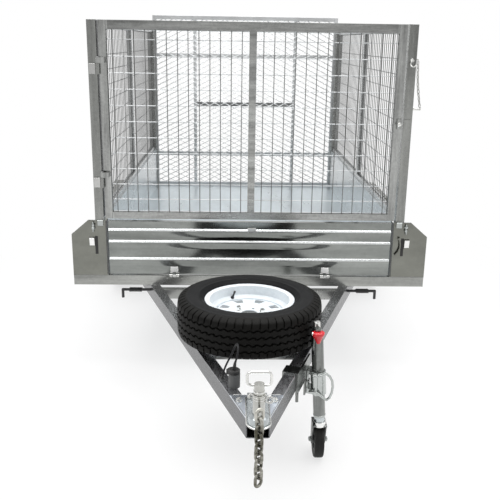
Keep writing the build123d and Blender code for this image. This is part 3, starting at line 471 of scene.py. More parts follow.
def frame_at(p, axis, xdir=None):
    """A matrix at p whose z axis is axis."""
    z = Vector(axis).normalized()
    ref = Vector(xdir) if xdir is not None else (Vector((0, 0, 1)) if abs(z.z) < 0.9 else Vector((1, 0, 0)))
    x = (ref - z * ref.dot(z)).normalized()
    y = z.cross(x)
    return Matrix(((x.x, y.x, z.x, p[0]), (x.y, y.y, z.y, p[1]), (x.z, y.z, z.z, p[2]), (0, 0, 0, 1)))


def make(name, build, material, body, sharp=35.0, replaces=()):
    me = bpy.data.meshes.new(name)
    co = np.array(build.v, float)
    co[:, 1] += SHIFT
    co /= 1000.0
    me.from_pydata([tuple(p) for p in co], [], build.f)
    me.validate()
    me.polygons.foreach_set("use_smooth", [True] * len(me.polygons))
    me.set_sharp_from_angle(angle=math.radians(sharp))
    me.update()
    ob = bpy.data.objects.new(name, me)
    mats = material if isinstance(material, (list, tuple)) else [material]
    for mt in mats:
        me.materials.append(mt)
    scene.collection.objects.link(ob)
    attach(ob, body)
    for node in replaces:
        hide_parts(node)
    return ob


# ------------------------------------------------------------------
# the plug's cable comes first: its own line, length and lie
# ------------------------------------------------------------------
CABLE = [(-121, -1064, 459.4), (-119.5, -1062, 481), (-106, -1047, 512), (-88, -1034, 541), (-76, -1031, 573), (-69, -1053, 595),
         (-65, -1085.5, 595), (-67, -1107, 572), (-76.5, -1105.5, 539), (-78, -1105, 520.4)]
cv = bpy.data.curves.new("plug_cable_flex", "CURVE")
cv.dimensions = "3D"
sp = cv.splines.new("NURBS")
sp.points.add(len(CABLE) - 1)
for pt, p in zip(sp.points, CABLE):
    pt.co = (*L(*p), 1.0)
sp.order_u = 3
sp.use_endpoint_u = True
sp.resolution_u = 10
cv.resolution_u = 10
cv.bevel_depth = 0.0035
cv.bevel_resolution = 4
cv.use_fill_caps = True
cv.materials.append(JACKET)
cable = bpy.data.objects.new("plug_cable_flex", cv)
scene.collection.objects.link(cable)
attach(cable, "trailer")
if "plug_cable" in NODES:
    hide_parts("plug_cable")

# strain relief: a tapered, ribbed boot on the plug that follows the cable
boot = Build()
path = [Vector(CABLE[-1]), Vector(CABLE[-1]).lerp(Vector(CABLE[-2]), 0.5), Vector(CABLE[-2]), Vector(CABLE[-2]).lerp(Vector(CABLE[-3]), 0.28)]
pts, rad = [], []
for i in range(15):
    t = i / 14
    s = t * (len(path) - 1)
    k = min(int(s), len(path) - 2)
    pts.append(path[k].lerp(path[k + 1], s - k))
    rad.append((7.4 * (1 - t) + 4.3 * t) * (1.0 if i % 2 == 0 else 0.90))
boot.tube(pts, 7.0, 16, radii=rad)
boot_ob = make("plug_strain_relief", boot, BLACK, "trailer")
sleeve = Build()
g0, g1 = Vector(CABLE[0]), Vector(CABLE[1])
sleeve.tube([g0 + Vector((0, 0, -1)), g0 + Vector((0, 0, 2)), g0.lerp(g1, 0.35), g0.lerp(g1, 0.7)], 5, 16, radii=[7.0, 6.6, 5.0, 4.2])
make("cable_grommet", sleeve, BLACK, "trailer")

# ------------------------------------------------------------------
# finishes of the CAD nodes, with softened tube edges
# ------------------------------------------------------------------
SLOT_MAT = {"galvanised": GALV, "galvanised_sheet": SHEET, "tyre": TYRE_MAT, "white_wheel": WHITE, "zinc": COUPLING, "chain": CHAIN,
            "black_rod": BLACK_PAINT, "red_plastic": RED, "black_plastic": BLACK, "grey_plastic": GREY, "lamp_red": LENS,
            "plate_white": PLATE, "black_rubber": SOLID_RUBBER, "cable_black": JACKET}
NODE_MAT = {"tray_floor": FLOOR, "drop_gate": GATE_SHEET, "axle_beam": GALV_DARK, "leaf_springs": GALV_DARK, "spring_hangers": GALV_DARK,
            "front_post_left": POSTS, "front_post_right": POSTS, "front_beam": BEAM_X, "gate_frame": GATE_TUBE,
            "cage_frame_left": FRAME_SIDE, "cage_frame_right": FRAME_SIDE, "ramp_frame": RAMP_TUBE,
            "drawbar_left": MEMBER, "drawbar_right": MEMBER, "coupling_plate": PLATE_STEEL, "coupling_ring": BRIGHT,
            "coupling_lock": LOCK, "side_wall_left": WALL, "side_wall_right": WALL, "jockey_outer_tube": JOCKEY,
            "jockey_clamp": JOCKEY_LIGHT, "jockey_mount_plate": JOCKEY, "wheel_hub_left": GALV_DARK, "wheel_hub_right": GALV_DARK,
            "jockey_fork": GALV_DARK}
slots = {s["node"]: s["material_slot"] for s in frame["record"]["subparts"]}
SOFTEN = {"front_beam": 2.5, "rear_beam": 2.5, "drop_gate": 0.8, "drawbar_left": 4.5, "drawbar_right": 4.5, "front_post_left": 2.2, "front_post_right": 2.2,
          "rear_posts": 2.2, "cage_frame_left": 1.8, "cage_frame_right": 1.8, "gate_frame": 1.8, "ramp_frame": 1.8, "axle_beam": 2.5,
          "chassis_rails": 2.2, "chassis_crossmembers": 2.2, "coupling_head": 2.6, "coupling_lock": 1.2, "coupling_plate": 1.0,
          "jockey_clamp": 0.9, "jockey_mount_plate": 1.0, "jockey_fork": 0.8, "jockey_outer_tube": 0.8, "leaf_springs": 0.8,
          "spare_carrier": 1.0, "side_wall_left": 0.7, "side_wall_right": 0.7, "spring_hangers": 0.8, "front_corner_plate_left": 0.7, "front_corner_plate_right": 0.7,
          "jockey_wheel": 1.5, "trailer_plug": 1.2, "plug_holder": 1.0, "tail_lights": 1.5}
for name, ob in NODES.items():
    me = ob.data
    me.materials.clear()
    me.materials.append(NODE_MAT.get(name, SLOT_MAT[slots[name]]))
    if name in SOFTEN:
        if "custom_normal" in me.attributes:
            me.attributes.remove(me.attributes["custom_normal"])
        me.polygons.foreach_set("use_smooth", [True] * len(me.polygons))
        w = ob.modifiers.new("weld", "WELD")
        w.merge_threshold = 0.00002
        b = ob.modifiers.new("soften", "BEVEL")
        b.width = SOFTEN[name] / 1000.0
        b.segments = 2
        b.limit_method = "ANGLE"
        b.angle_limit = math.radians(38)
        b.use_clamp_overlap = True
        b.miter_outer = "MITER_ARC"
        nn = ob.modifiers.new("normals", "WEIGHTED_NORMAL")
        nn.weight = 90
        nn.keep_sharp = True

# ------------------------------------------------------------------
# welded wire panels: round wires, crossing in two layers
# ------------------------------------------------------------------
PITCH_U, PITCH_V, WR = 50.0, 75.0, 2.1


def wire_lines(a, b, ref, pitch):
    out = [a + 2.0]
    k = math.ceil((a + 4 - ref) / pitch)
    while ref + k * pitch < b - 6:
        if ref + k * pitch > a + 8:
            out.append(ref + k * pitch)
        k += 1
    out.append(b - 2.0)
    return out


def wire_panel(upright, level, u0, u1, v0, v1, to3d, u_ref, v_ref, rnd):
    """Vertical wires in one layer and level wires in the next; each wanders a little, as drawn wire does."""
    for u in wire_lines(u0, u1, u_ref, PITCH_U):
        n = 8
        ph_, am = rnd.uniform(0, 6.28), rnd.uniform(0.1, 0.7)
        upright.tube([to3d(u + am * math.sin(ph_ + 3.1 * i / n), v0 + (v1 - v0) * i / n, 0.0) for i in range(n + 1)], WR, 8)
    for v in wire_lines(v0, v1, v_ref, PITCH_V):
        n = 12
        ph_, am = rnd.uniform(0, 6.28), rnd.uniform(0.1, 0.8)
        level.tube([to3d(u0 + (u1 - u0) * i / n, v + am * math.sin(ph_ + 4.0 * i / n), 1.0) for i in range(n + 1)], WR, 8)


rnd = random.Random(5)
Z0, Z1 = 812.4, 1691.6
for side, s in (("left", -1), ("right", 1)):
    wb, lb = Build(), Build()
    for a, b in ((40.4, 1199.6), (1240.4, 2399.6)):
        wire_panel(wb, lb, a, b, Z0, Z1, lambda u, v, l: (s * (735.2 + 3.9 * l), u, v), 25.0, 812.0, rnd)
    # uprights take the darker wire zinc (painted shade), level wires the lighter one (painted highlight)
    make("cage_uprights_" + side, wb, WIRE_SHADED, "trailer", 60, ["cage_mesh_" + side])
    make("cage_level_wires_" + side, lb, WIRE, "trailer", 60)
wb, lb = Build(), Build()
wire_panel(wb, lb, -675.2, 675.2, 825.4, 1681.6, lambda u, v, l: (u, 12.2 + 3.9 * l, v), 0.0, 812.0, rnd)
# uprights take the darker wire zinc (painted shade), level wires the lighter one (painted highlight)
make("gate_uprights", wb, WIRE_SHADED, "gate", 60, ["gate_mesh"])
make("gate_level_wires", lb, WIRE, "gate", 60)

# ------------------------------------------------------------------
# expanded metal on the ramp: strands twisted out of the sheet
# ------------------------------------------------------------------
u0, u1, v0, v1 = -694.6, 694.6, 512.4, 1789.6
eb = Build()


def clip(p, q):
    t0, t1 = 0.0, 1.0
    for a, d, lo, hi in ((p[0], q[0] - p[0], u0, u1), (p[1], q[1] - p[1], v0, v1)):
        if abs(d) < 1e-9:
            if not lo <= a <= hi:
                return None
            continue
        x, y = (lo - a) / d, (hi - a) / d
        t0, t1 = max(t0, min(x, y)), min(t1, max(x, y))
    return (t0, t1) if t1 - t0 > 0.05 else None


for row in range(-1, 66):
    vc = v0 + 2 + row * 20.0
    for col in range(-19, 20):
        uc = col * 80.0 + (40.0 if row % 2 else 0.0)
        for sgn in (-1, 1):
            p, q = (uc, vc), (uc + sgn * 40.0, vc + 20.0)
            t = clip(p, q)
            if not t:
                continue
            a = Vector((p[0] + (q[0] - p[0]) * t[0], 2448.9, p[1] + (q[1] - p[1]) * t[0]))
            c = Vector((p[0] + (q[0] - p[0]) * t[1], 2448.9, p[1] + (q[1] - p[1]) * t[1]))
            e1 = (c - a).normalized()
            inpl = Vector((0, 1, 0)).cross(e1).normalized()
            if inpl.z < 0:
                inpl = -inpl
            tilt = math.radians(34)
            wdir = (inpl * math.cos(tilt) + Vector((0, 1, 0)) * math.sin(tilt)).normalized()
            ndir = e1.cross(wdir).normalized()
            hw, ht = 2.9, 0.9
            vs = []
            for base in (a - e1 * 1.2, c + e1 * 1.2):
                for i, j in ((-1, -1), (1, -1), (1, 1), (-1, 1)):
                    vs.append(base + wdir * (i * hw) + ndir * (j * ht))
            eb.add(vs, [(0, 1, 2, 3), (7, 6, 5, 4), (0, 4, 5, 1), (1, 5, 6, 2), (2, 6, 7, 3), (3, 7, 4, 0)])
make("ramp_expanded_metal", eb, RAMP_FINISH, "ramp", 30, ["ramp_mesh"])


# ------------------------------------------------------------------
# tyres: zigzag grooves, shoulder lugs and notched ribs
# ------------------------------------------------------------------
def tyre(name, M, body, node):
    P = 58                                            # pitches round the tyre
    phases = [0.0, 0.06, 0.10, 0.20, 0.30, 0.40, 0.44, 0.50, 0.56, 0.60, 0.74, 0.88]
    # stations across: (a, radius, zigzag, in a groove, kind), from the inner bead to the outer
    half = [(40, 171, 0, 0, "w"), (60.5, 169.4, 0, 0, "w"), (63.0, 176, 0, 0, "w"), (63.6, 184.5, 0, 0, "w"), (66, 187.5, 0, 0, "w"),
            (70, 190, 0, 0, "w"), (75.5, 197.5, 0, 0, "w"), (79, 205, 0, 0, "w"), (80.4, 206.5, 0, 0, "w"), (80.6, 208.5, 0, 0, "w"),
            (80.2, 210, 0, 0, "w"), (81.8, 220, 0, 0, "w"), (82.4, 232, 0, 0, "w"), (82.1, 244, 0, 0, "w"), (81.2, 255, 0, 0, "w"),
            (81.4, 256.5, 0, 0, "w"), (81.2, 259.5, 0, 0, "w"), (80.2, 261, 0, 0, "w"), (79.2, 266, 0, 0, "s0"), (77.2, 273, 0, 0, "s1"),
            (74.6, 280, 0, 0, "s2"), (70.4, 287.5, 0, 0, "s2"), (66.8, 292.3, 0, 0, "s2"), (62.0, 294.6, 0, 0, "s2"),
            (52, 296.0, 0, 0, "s2"), (44.5, 296.8, 4.5, 0, "r0"), (43.6, 288.4, 4.5, 1, "g"), (38.2, 288.4, 4.5, 1, "g"), (37.2, 297.1, 4.5, 0, "r1"),
            (32.5, 297.3, 2.0, 0, "r"), (26, 297.5, 0, 0, "r"), (21.5, 297.6, -2.0, 0, "r"), (17.4, 297.7, -4.5, 0, "r2"), (16.4, 288.6, -4.5, 1, "g"),
            (11.2, 288.6, -4.5, 1, "g"), (10.2, 297.8, -4.5, 0, "r3"), (5.5, 297.9, -2.0, 0, "r"), (0, 298.0, 0, 0, "r")]
    row = [(-a, r, -z, g, k) for a, r, z, g, k in half] + [(a, r, z, g, k) for a, r, z, g, k in reversed(half[:-1])]
    row = [(a * (1.0 if r < 200 else 1.042), r, z, g, k) for a, r, z, g, k in row]
    K = len(row)
    verts = np.zeros((P * len(phases) * K, 3))
    i = 0
    for p in range(P):
        for phz in phases:
            tri = 1 - 4 * abs(((phz + 0.25) % 1.0) - 0.5)      # zigzag, -1 to 1
            ang = 2 * math.pi * (p + phz) / P
            lug = 0.44 <= phz <= 0.56
            notch = phz in (0.0, 0.06)
            for a, r, z, g, k in row:
                aa, rr = a + z * tri, r
                if lug and k == "s2":
                    rr = r - 7.0
                elif lug and k == "s1":
                    rr, aa = r - 3.0, a - math.copysign(2.2, a)
                elif lug and k == "s0":
                    aa = a - math.copysign(0.8, a)
                elif notch and k in ("r1", "r2", "r3"):
                    rr = r - 5.0
                shift = 0.0
                if k in ("s0", "s1", "s2"):
                    shift = 0.10 * (abs(a) - 43) / 38 * (1 if a > 0 else -1)
                th_ = ang + 2 * math.pi * shift / P
                verts[i] = (rr * math.cos(th_), rr * math.sin(th_), aa)
                i += 1
    R = np.array([[M[a][b] for b in range(3)] for a in range(3)])
    verts = verts @ R.T + np.array([M[0][3], M[1][3], M[2][3]])
    N = P * len(phases)
    faces, kinds = [], []
    for j in range(N):
        j2 = (j + 1) % N
        for c in range(K - 1):
            faces.append((j * K + c, j * K + c + 1, j2 * K + c + 1, j2 * K + c))
            kinds.append(1 if row[c][4] == "w" and row[c + 1][4] == "w" else 0)
    b = Build()
    b.v, b.f = verts.tolist(), faces
    ob = make(name, b, [TYRE_MAT, WALL_MAT], body, 32, [node])
    ob.data.polygons.foreach_set("material_index", kinds)
    return ob


SPARE = Matrix.Translation((-16, -655, 553.0))
WHEEL = {s: Matrix.Translation((s * 832, 1400, 298)) @ Matrix.Rotation(math.radians(90 * s), 4, "Y") for s in (-1, 1)}
tyre("tyre_tread_spare", SPARE, "trailer", "spare_tyre")
tyre("tyre_tread_left", WHEEL[-1], "wheel_left", "tyre_left")
tyre("tyre_tread_right", WHEEL[1], "wheel_right", "tyre_right")


def to(M, *p):
    return M @ Vector(p)


def rot_dir(M, *d):
    return (M.to_3x3() @ Vector(d)).normalized()


# wheel nuts, dust cap, valve
for name, M, body, nuts, slot in (("spare", SPARE, "trailer", (0, 2), "zinc"), ("left", WHEEL[-1], "wheel_left", range(5), "zinc"),
                                  ("right", WHEEL[1], "wheel_right", range(5), "zinc")):
    nb = Build()
    for k in nuts:
        a = math.radians(72 * k)
        p = to(M, 54 * math.cos(a), 54 * math.sin(a), 3.7)
        nb.lathe([(6.4, 0), (11.2, 0), (11.6, 1.2), (10.2, 4.0), (6.4, 4.0)], frame_at(p, rot_dir(M, 0, 0, 1)), 24)
        nb.hexa(p + rot_dir(M, 0, 0, 1) * 3.6, rot_dir(M, 0, 0, 1), 19.0, 13.0, 0, 0 if name == "spare" else 3.0, 0.3 * k)
    make("wheel_nuts_" + name, nb, BRIGHT, body)
    if name != "spare":
        cb = Build()
        cb.lathe([(31.5, 27.3), (33.2, 27.5), (33.6, 29.5), (32.6, 31.0), (30.6, 31.7), (30.2, 41.5), (28.6, 44.9), (25.0, 46.9), (10, 48.1), (0, 48.3)],
                 M, 40)
        make("dust_cap_" + name, cb, BRIGHT, body)
    vb = Build()
    a = math.radians(117)
    c, sn = math.cos(a), math.sin(a)
    p0, p1 = to(M, 156 * c, 156 * sn, 19.5), to(M, 132 * c, 132 * sn, 56)
    d = (p1 - p0)
    vb.tube([p0 - d * 0.10, p0, p0 + d * 0.15, p0 + d * 0.22, p0 + d * 0.70, p0 + d * 0.74, p0 + d * 0.78, p1 - d * 0.02, p1], 4, 14,
            radii=[8.5, 8.2, 6.8, 4.4, 3.9, 3.9, 4.7, 4.7, 3.6])
    make("tyre_valve_" + name, vb, BLACK, body)
    # rolled edge on both rim lips
    rb = Build()
    for sg in (-1, 1):
        rb.tube([to(M, 183.0 * math.cos(t * math.pi / 48), 183.0 * math.sin(t * math.pi / 48), sg * 66.2) for t in range(96)], 2.2, 8, closed=True)
    make("rim_lip_" + name, rb, WHITE, body)

# ------------------------------------------------------------------
# small parts the CAD leaves to the looks
# ------------------------------------------------------------------
def chain_ring(b, c, along, across, length, width, r, n=10):
    """One chain link: a bar closed round a long slot."""
    c, t, u = Vector(c), Vector(along).normalized(), Vector(across).normalized()
    u = (u - t * u.dot(t)).normalized()
    hl, hw = length / 2 - width / 2, width / 2 - r
    pts = []
    for sg in (1, -1):
        for k in range(9):
            a = math.pi * k / 8
            pts.append(c + t * (sg * (hl + hw * math.sin(a))) + u * (sg * hw * math.cos(a)))
    b.tube(pts, r, n, closed=True)


def arc_bar(b, centre, radius, a0, a1, r, ux=(1, 0, 0), uy=(0, 0, 1), n=22, lead=(), tail=()):
    """A round bar bent along an arc, with straight runs before and after it."""
    c, u, v = Vector(centre), Vector(ux), Vector(uy)
    pts = [Vector(p) for p in lead]
    for k in range(n + 1):
        a = math.radians(a0 + (a1 - a0) * k / n)
        pts.append(c + u * (radius * math.cos(a)) + v * (radius * math.sin(a)))
    pts += [Vector(p) for p in tail]
    b.tube(pts, r, 10)


# hook, safety pin and its little chain on the right front post
b = Build()
arc_bar(b, (746, -7.5, 1547), 13, 78, 372, 3.6, lead=[(741, 1.5, 1562), (742, -5, 1562)])
b.lathe([(0, 0), (8.0, 0), (8.6, 0.6), (8.6, 1.6), (7.6, 2.4), (0, 2.4)], frame_at((741, 0, 1562), (0, -1, 0)), 18)
make("post_hook", b, BRIGHT, "trailer")
b = Build()
p, q, n = Vector((771, 8, 1560)), Vector((797, 12, 1346)), 13
b.rod((761, 8, 1566), (773, 8, 1566), 3.0)
for k in range(n):
    t = (k + 0.5) / n
    c = p.lerp(q, t) + Vector((-5.0 * math.sin(math.pi * t), 0, 0))
    g = (q - p).normalized() + Vector((-0.07 * math.cos(math.pi * t), 0, 0))
    w = math.radians(90 * (k % 2) + 24 + 9 * math.sin(2.1 * k))
    chain_ring(b, c, g, (math.cos(w), math.sin(w), 0), 21.5, 13.0, 2.0, 8)
make("pin_chain", b, CHAIN_SMALL, "trailer")
b = Build()
b.rod((740, 12.5, 1341), (801, 12.1, 1336), 5.6, 14, 1.2)
b.lathe([(5.6, 0), (8.4, 0.4), (8.8, 2.4), (8.4, 4.4), (5.6, 4.8)], frame_at((763, 12.3, 1339.2), (1, 0, -0.09)), 18)
arc_bar(b, (800, 12, 1346), 7.5, -80, 262, 1.8, ux=(0.3, 0.95, 0), n=20)
make("post_pin", b, BRIGHT, "trailer")

# corner plates: catch faces, eye bolts with their nuts, folded keeps, black strips beside the keeps as painted shadow
for side, sg in (("left", -1), ("right", 1)):
    b = Build()
    # the keep in near-white zinc: painted highlight
    M = Matrix.Translation((sg * 780, -13.2, 674)) @ Matrix.Rotation(math.radians(10), 4, "X")
    b.box(-12.4, 12.4, -1.6, 1.6, -23.5, 23.5, 1.0, M)
    make("corner_keep_" + side, b, TAB_HIGHLIGHT, "trailer")
    b = Build()
    b.box(sg * 722, sg * 751, -12, -3, 757, 786, 1.6)
    b.rod((sg * 772, -10, 726), (sg * 772, -10, 776), 4.4)
    for z in (741, 757):
        b.hexa((sg * 772, -10, z), (0, 0, 1), 17.0, 8.5, 9.5, 0, 0.3 + z)
    make("corner_catch_" + side, b, JOCKEY_LIGHT, "trailer")
    # a black strip beside the keep: painted shadow of the keep
    b = Build()
    b.box(sg * 752.5, sg * 766.5, -4.6, -2.6, 612, 704, 0.8)
    make("corner_keep_shadow_" + side, b, BLACK, "trailer")
    b = Build()
    for x0, z0, x1, z1 in ((716, 500.6, 880, 500.6), (796, 785.2, 722, 785.2)):
        b.bead((sg * x0, -3.2, z0), (sg * x1, -3.2, z1), 1.5, 3)
    make("corner_welds_" + side, b, BEAD, "trailer")

# lifting tab, rivets and hinge screws on the drop gate
b = Build()
b.box(-12, 28, -9.5, -4.0, 728, 731, 0.8)
b.box(-12, 28, -9.5, -7.4, 728, 749, 0.8)
b.box(-12, 28, -9.5, 4.0, 747, 749.4, 0.8)
for x in (-378.0, 378.0):
    for dx in (-15, 15):
        b.lathe([(0, 0), (5.2, 0), (5.0, 1.2), (3.4, 2.6), (0, 3.1)], frame_at((x + dx, -0.9, 531), (0, -1, 0)), 16)
    b.box(x - 21.6, x + 21.6, -2.4, -0.9, 514.5, 518.5, 0.4)
make("drop_gate_fittings", b, TAB_HIGHLIGHT, "drop_gate")
# strips on the pressed ledges of the drop gate, in near-white zinc as a painted highlight along each crest
b = Build()
for z in (584.0, 673.0, 732.0):
    prof = [(-4.4, z - 0.6), (-4.3, z + 1.4), (-3.3, z + 3.2), (3.4, z + 9.9), (4.4, z + 10.0), (4.4, z + 9.0), (-3.6, z + 1.6), (-3.9, z - 0.6)]
    m_ = len(prof)
    for x0, x1 in ((-699.4, 699.4),):
        vs = [(x0, y, h) for y, h in prof] + [(x1, y, h) for y, h in prof]
        fs = [tuple(range(m_)), tuple(range(2 * m_ - 1, m_ - 1, -1))]
        fs += [(k, m_ + k, m_ + (k + 1) % m_, (k + 1) % m_) for k in range(m_)]
        b.add(vs, fs)
make("drop_gate_crest_highlights", b, CREST_HIGHLIGHT, "drop_gate", 20)
b = Build()
for x in (-378.0, 378.0):
    for sx in (-36, 36):
        b.hexa((x + sx, -4, 484), (0, -1, 0), 10.0, 4.5, 8.0, 0, 0.2)
make("drop_hinge_bolts", b, BEAM_X, "trailer")
b, c = Build(), Build()
for x in (-378.0, 378.0):
    b.box(x - 18.5, x + 18.5, -3.2, -1.1, 519.0, 547.6, 0.7)
    b.lathe([(8.0, -7.6), (8.6, -7.4), (8.6, 7.4), (8.0, 7.6)], frame_at((x, -9, 503), (1, 0, 0)), 24, True)
    for sx in (-16.6, 16.6):
        c.lathe([(8.0, -7.2), (8.6, -7.0), (8.6, 7.0), (8.0, 7.2)], frame_at((x + sx, -9, 503), (1, 0, 0)), 24, True)
make("drop_hinge_leaves", b, TAB_HIGHLIGHT, "drop_gate")
make("drop_hinge_barrels", c, BRIGHT, "trailer")
# jambs beside the drop gate, a black strip on the hinge post as painted shadow of the gate's gap, plates of the gate's
# hinges
b = Build()
for sg in (-1, 1):
    b.box(sg * 705.8, sg * 711.9, 3.0, 48.0, 504.0, 780.0, 0.8)
make("front_jambs", b, GALV_DARK, "trailer")
b = Build()
# black strip on the hinge post's inner face: painted shadow of the gap between gate and post
b.box(-719.9, -717.6, 1.5, 49.0, 801.0, 1719.0, 0.6)
make("hinge_gap_shadow_strip", b, BLACK, "trailer")
b = Build()
for z in (998.0, 1531.0):
    b.box(-757.4, -727.0, -11.2, -9.2, z - 49.4, z - 2.6, 0.8)
    b.box(-757.4, -727.0, -11.8, -2.0, z - 4.6, z - 2.2, 0.6)
make("gate_hinge_plates", b, HINGE_FINISH, "trailer")
# rope hooks: a wrap of cord by each member
b = Build()
for sg in (-1, 1):
    b.tube([(sg * (545 + 64 * k / 168), 20 + 9.6 * math.cos(k * math.pi / 7), 418 + 9.6 * math.sin(k * math.pi / 7)) for k in range(169)], 2.5, 6)
make("rope_hook_wraps", b, BLACK, "trailer")

# gate: pin heads, weld runs, a spring latch knob
b = Build()
for z in (998.0, 1531.0):
    b.lathe([(0, 0), (7.4, 0), (8.2, 0.8), (8.2, 2.2), (6.6, 3.6), (0, 4.0)], frame_at((-716, -14, z + 26), (0, 0, 1)), 20)
    b.bead((-683.5, -19, z + 1.5), (-683.5, -19, z + 24.5), 1.7, 2)
for x, z0, z1 in ((-675.8, 1682.6, 1721.2), (675.8, 1682.6, 1721.2), (-675.8, 792.8, 824.5), (675.8, 792.8, 824.5)):
    b.bead((x, 2.2, z0), (x, 2.2, z1), 1.5, 4)
for z in (825.3, 1681.7):
    b.bead((-16.4, 2.6, z), (16.4, 2.6, z), 1.6, 5)
make("gate_welds", b, BEAD, "gate")
b = Build()
b.rod((697, -12, 1268), (697, -24, 1268), 4.2)
b.lathe([(0, 0), (8.0, 0), (9.4, 1.4), (9.4, 6.4), (7.8, 8.4), (0, 9.0)], frame_at((697, -22, 1268), (0, -1, 0)), 24)
make("gate_latch_knob", b, BRIGHT, "gate")

# posts: foot welds, top caps
for side, sg in (("left", -1), ("right", 1)):
    b = Build()
    b.bead((sg * 720.5, -0.2, 500.8), (sg * 761.5, -0.2, 500.8), 1.8, 7)
    b.bead((sg * 762.2, 1, 500.8), (sg * 762.2, 49, 500.8), 1.8, 8)
    for y, z in ((50.2, 1691), (50.2, 1722)):
        b.bead((sg * 723, y, z), (sg * 751, y, z), 1.5, 9)
    b.bead((sg * 752.4, 50.2, 1693), (sg * 752.4, 50.2, 1721), 1.5, 9)
    b.bead((sg * 752.4, 50.2, 788), (sg * 752.4, 50.2, 811), 1.5, 9)
    b.box(sg * 721.2, sg * 760.8, 1.2, 48.8, 1721.4, 1723.2, 0.8)
    b.box(sg * 713.2, sg * 760.8, 2391.2, 2438.8, 1721.4, 1723.2, 0.8)
    make("post_welds_" + side, b, BEAD, "trailer")

# coupling: the rolled lip, hood bolts, bands on the lock body, split clip
b = Build()
lip_pts = [(-38.5, y, 459.2) for y in (-1212, -1260, -1310, -1350)]
lip_pts += [(38.5 * math.cos(t), -1380 + 38.5 * math.sin(t), 459.2) for t in [math.pi * (1 + k / 20) for k in range(21)]]
lip_pts += [(38.5, y, 459.2) for y in (-1350, -1310, -1260, -1212)]
b.tube(lip_pts, 3.1, 10)
make("coupling_lip", b, BRIGHT, "trailer")
b = Build()
for x, y in ((-62, -1225), (62, -1225), (-24, -1246), (24, -1246)):
    z = 456 if abs(x) > 40 else 482
    b.hexa((x, y, z), (0, 0, 1), 17.0, 8.0, 11.0, 3.5, 0.2 + x)
for z in (548.0, 556.0):
    b.lathe([(19.6, z - 1.4), (20.9, z - 1.0), (20.9, z + 1.0), (19.6, z + 1.4)], Matrix.Translation((0, -1380, 0)), 40)
b.lathe([(16.4, 571.6), (18.9, 571.9), (18.9, 575.4), (16.4, 575.9)], Matrix.Translation((0, -1380, 0)), 36)
make("coupling_fittings", b, BRIGHT, "trailer")
b = Build()
arc_bar(b, (33.5, -1384, 545), 12.5, 168, -166, 2.2)
arc_bar(b, (33.5, -1384, 545), 8.0, 150, -120, 1.6)
b.rod((18, -1384, 547.5), (26, -1384, 547.5), 2.6)
make("lock_clip", b, BRIGHT, "trailer")
b = Build()
for sg in (-1, 1):
    b.bead((sg * 84, -1182, 456.2), (sg * 50, -1182, 456.2), 1.8, 3)
    b.bead((sg * (86.0 + 0.3426 * -2), -1202, 456.2), (sg * (86.0 + 0.3426 * -132), -1332, 456.2), 1.3, 4)
    b.bead((sg * 520, -0.8, 449.6), (sg * 472, -0.8, 449.6), 2.0, 5)
make("drawbar_welds", b, BEAD, "trailer")

# plug: hinged lid and its strap
b = Build()
b.lathe([(0, 0), (22.4, 0), (23.6, 1.2), (23.6, 10.4), (22.0, 12.0), (19.4, 12.4), (0, 12.4)], Matrix.Translation((-81, -1105, 504.5)), 36)
b.box(-107, -98, -1112, -1098, 499, 516, 1.2)
b.rod((-103, -1115, 507.5), (-103, -1095, 507.5), 3.2)
make("plug_lid", b, BLACK, "trailer")

# jockey wheel
JT = Vector((-0.06269647, 0.02147981, 0.99780147))
JK = frame_at(Vector((268, -865, 160)) - JT * 160, JT, (0.324105, 0.946021, 0))
KN = JK @ Matrix.Rotation(math.atan2(-12, -34), 4, "Z") @ Matrix.Translation((36, 0, 0))
b = Build()
prof = [(0, 524), (4.6, 524.2), (6.8, 525.6), (8.2, 529), (11.0, 536), (15.0, 544.5), (19.4, 552.5), (23.2, 559), (25.0, 563), (25.4, 566.6),
        (24.6, 570), (21.6, 572.4), (16.0, 573.4), (0, 573.8)]
o = len(b.v)
b.lathe(prof, Matrix.Identity(4), 44)
b.v = [tuple(KN @ Vector((max(x, -11.1), y, z))) for x, y, z in b.v]
make("jockey_grip_knob", b, RED, "jockey_stem", 50, ["jockey_grip"])
b = Build()
nub = Vector(KN @ Vector((0, 0, 566)))
b.lathe([(0, 0), (6.4, 0), (6.8, 2.4), (5.6, 5.0), (3.0, 6.6), (0, 7.0)], frame_at(nub + Vector((-20.5, -6, 1)), (-0.93, -0.3, 0.1)), 18)
b.lathe([(0, 575.4), (12.8, 575.4), (13.6, 577), (13.6, 600.2), (12.4, 601.6), (0, 602)], JK, 28)
make("jockey_crank_stub", b, BRIGHT, "jockey_stem")
b = Build()
b.lathe([(24.1, 548.5), (25.6, 549.2), (25.6, 558.6), (24.1, 559.3)], JK, 40)
b.lathe([(24.1, 201.2), (25.0, 201.8), (25.0, 207.4), (24.1, 208.0)], JK, 40)
make("jockey_tube_bands", b, JOCKEY_LIGHT, "jockey_stem")
b = Build()
b.lathe([(21.6, 156.6), (24.3, 156.6), (25.0, 157.4), (25.0, 176.8), (24.3, 177.6), (21.6, 177.6)], JK, 40, True)
make("jockey_collar", b, TAB_HIGHLIGHT, "jockey_caster")
b = Build()
wy = -831
for sg in (-1, 1):
    b.hexa((268 + sg * 28.2, wy, 75), (sg, 0, 0), 19.0, 7.6, 11.5, 2.0, 0.25)
b.bead((268 - 26, -884, 163.4), (268 + 26, -884, 163.4), 1.5, 6)
make("jockey_axle_nuts", b, JOCKEY_LIGHT, "jockey_caster")
b = Build()
JWM = Matrix.Translation((268, wy, 75)) @ Matrix.Rotation(math.radians(90), 4, "Y")
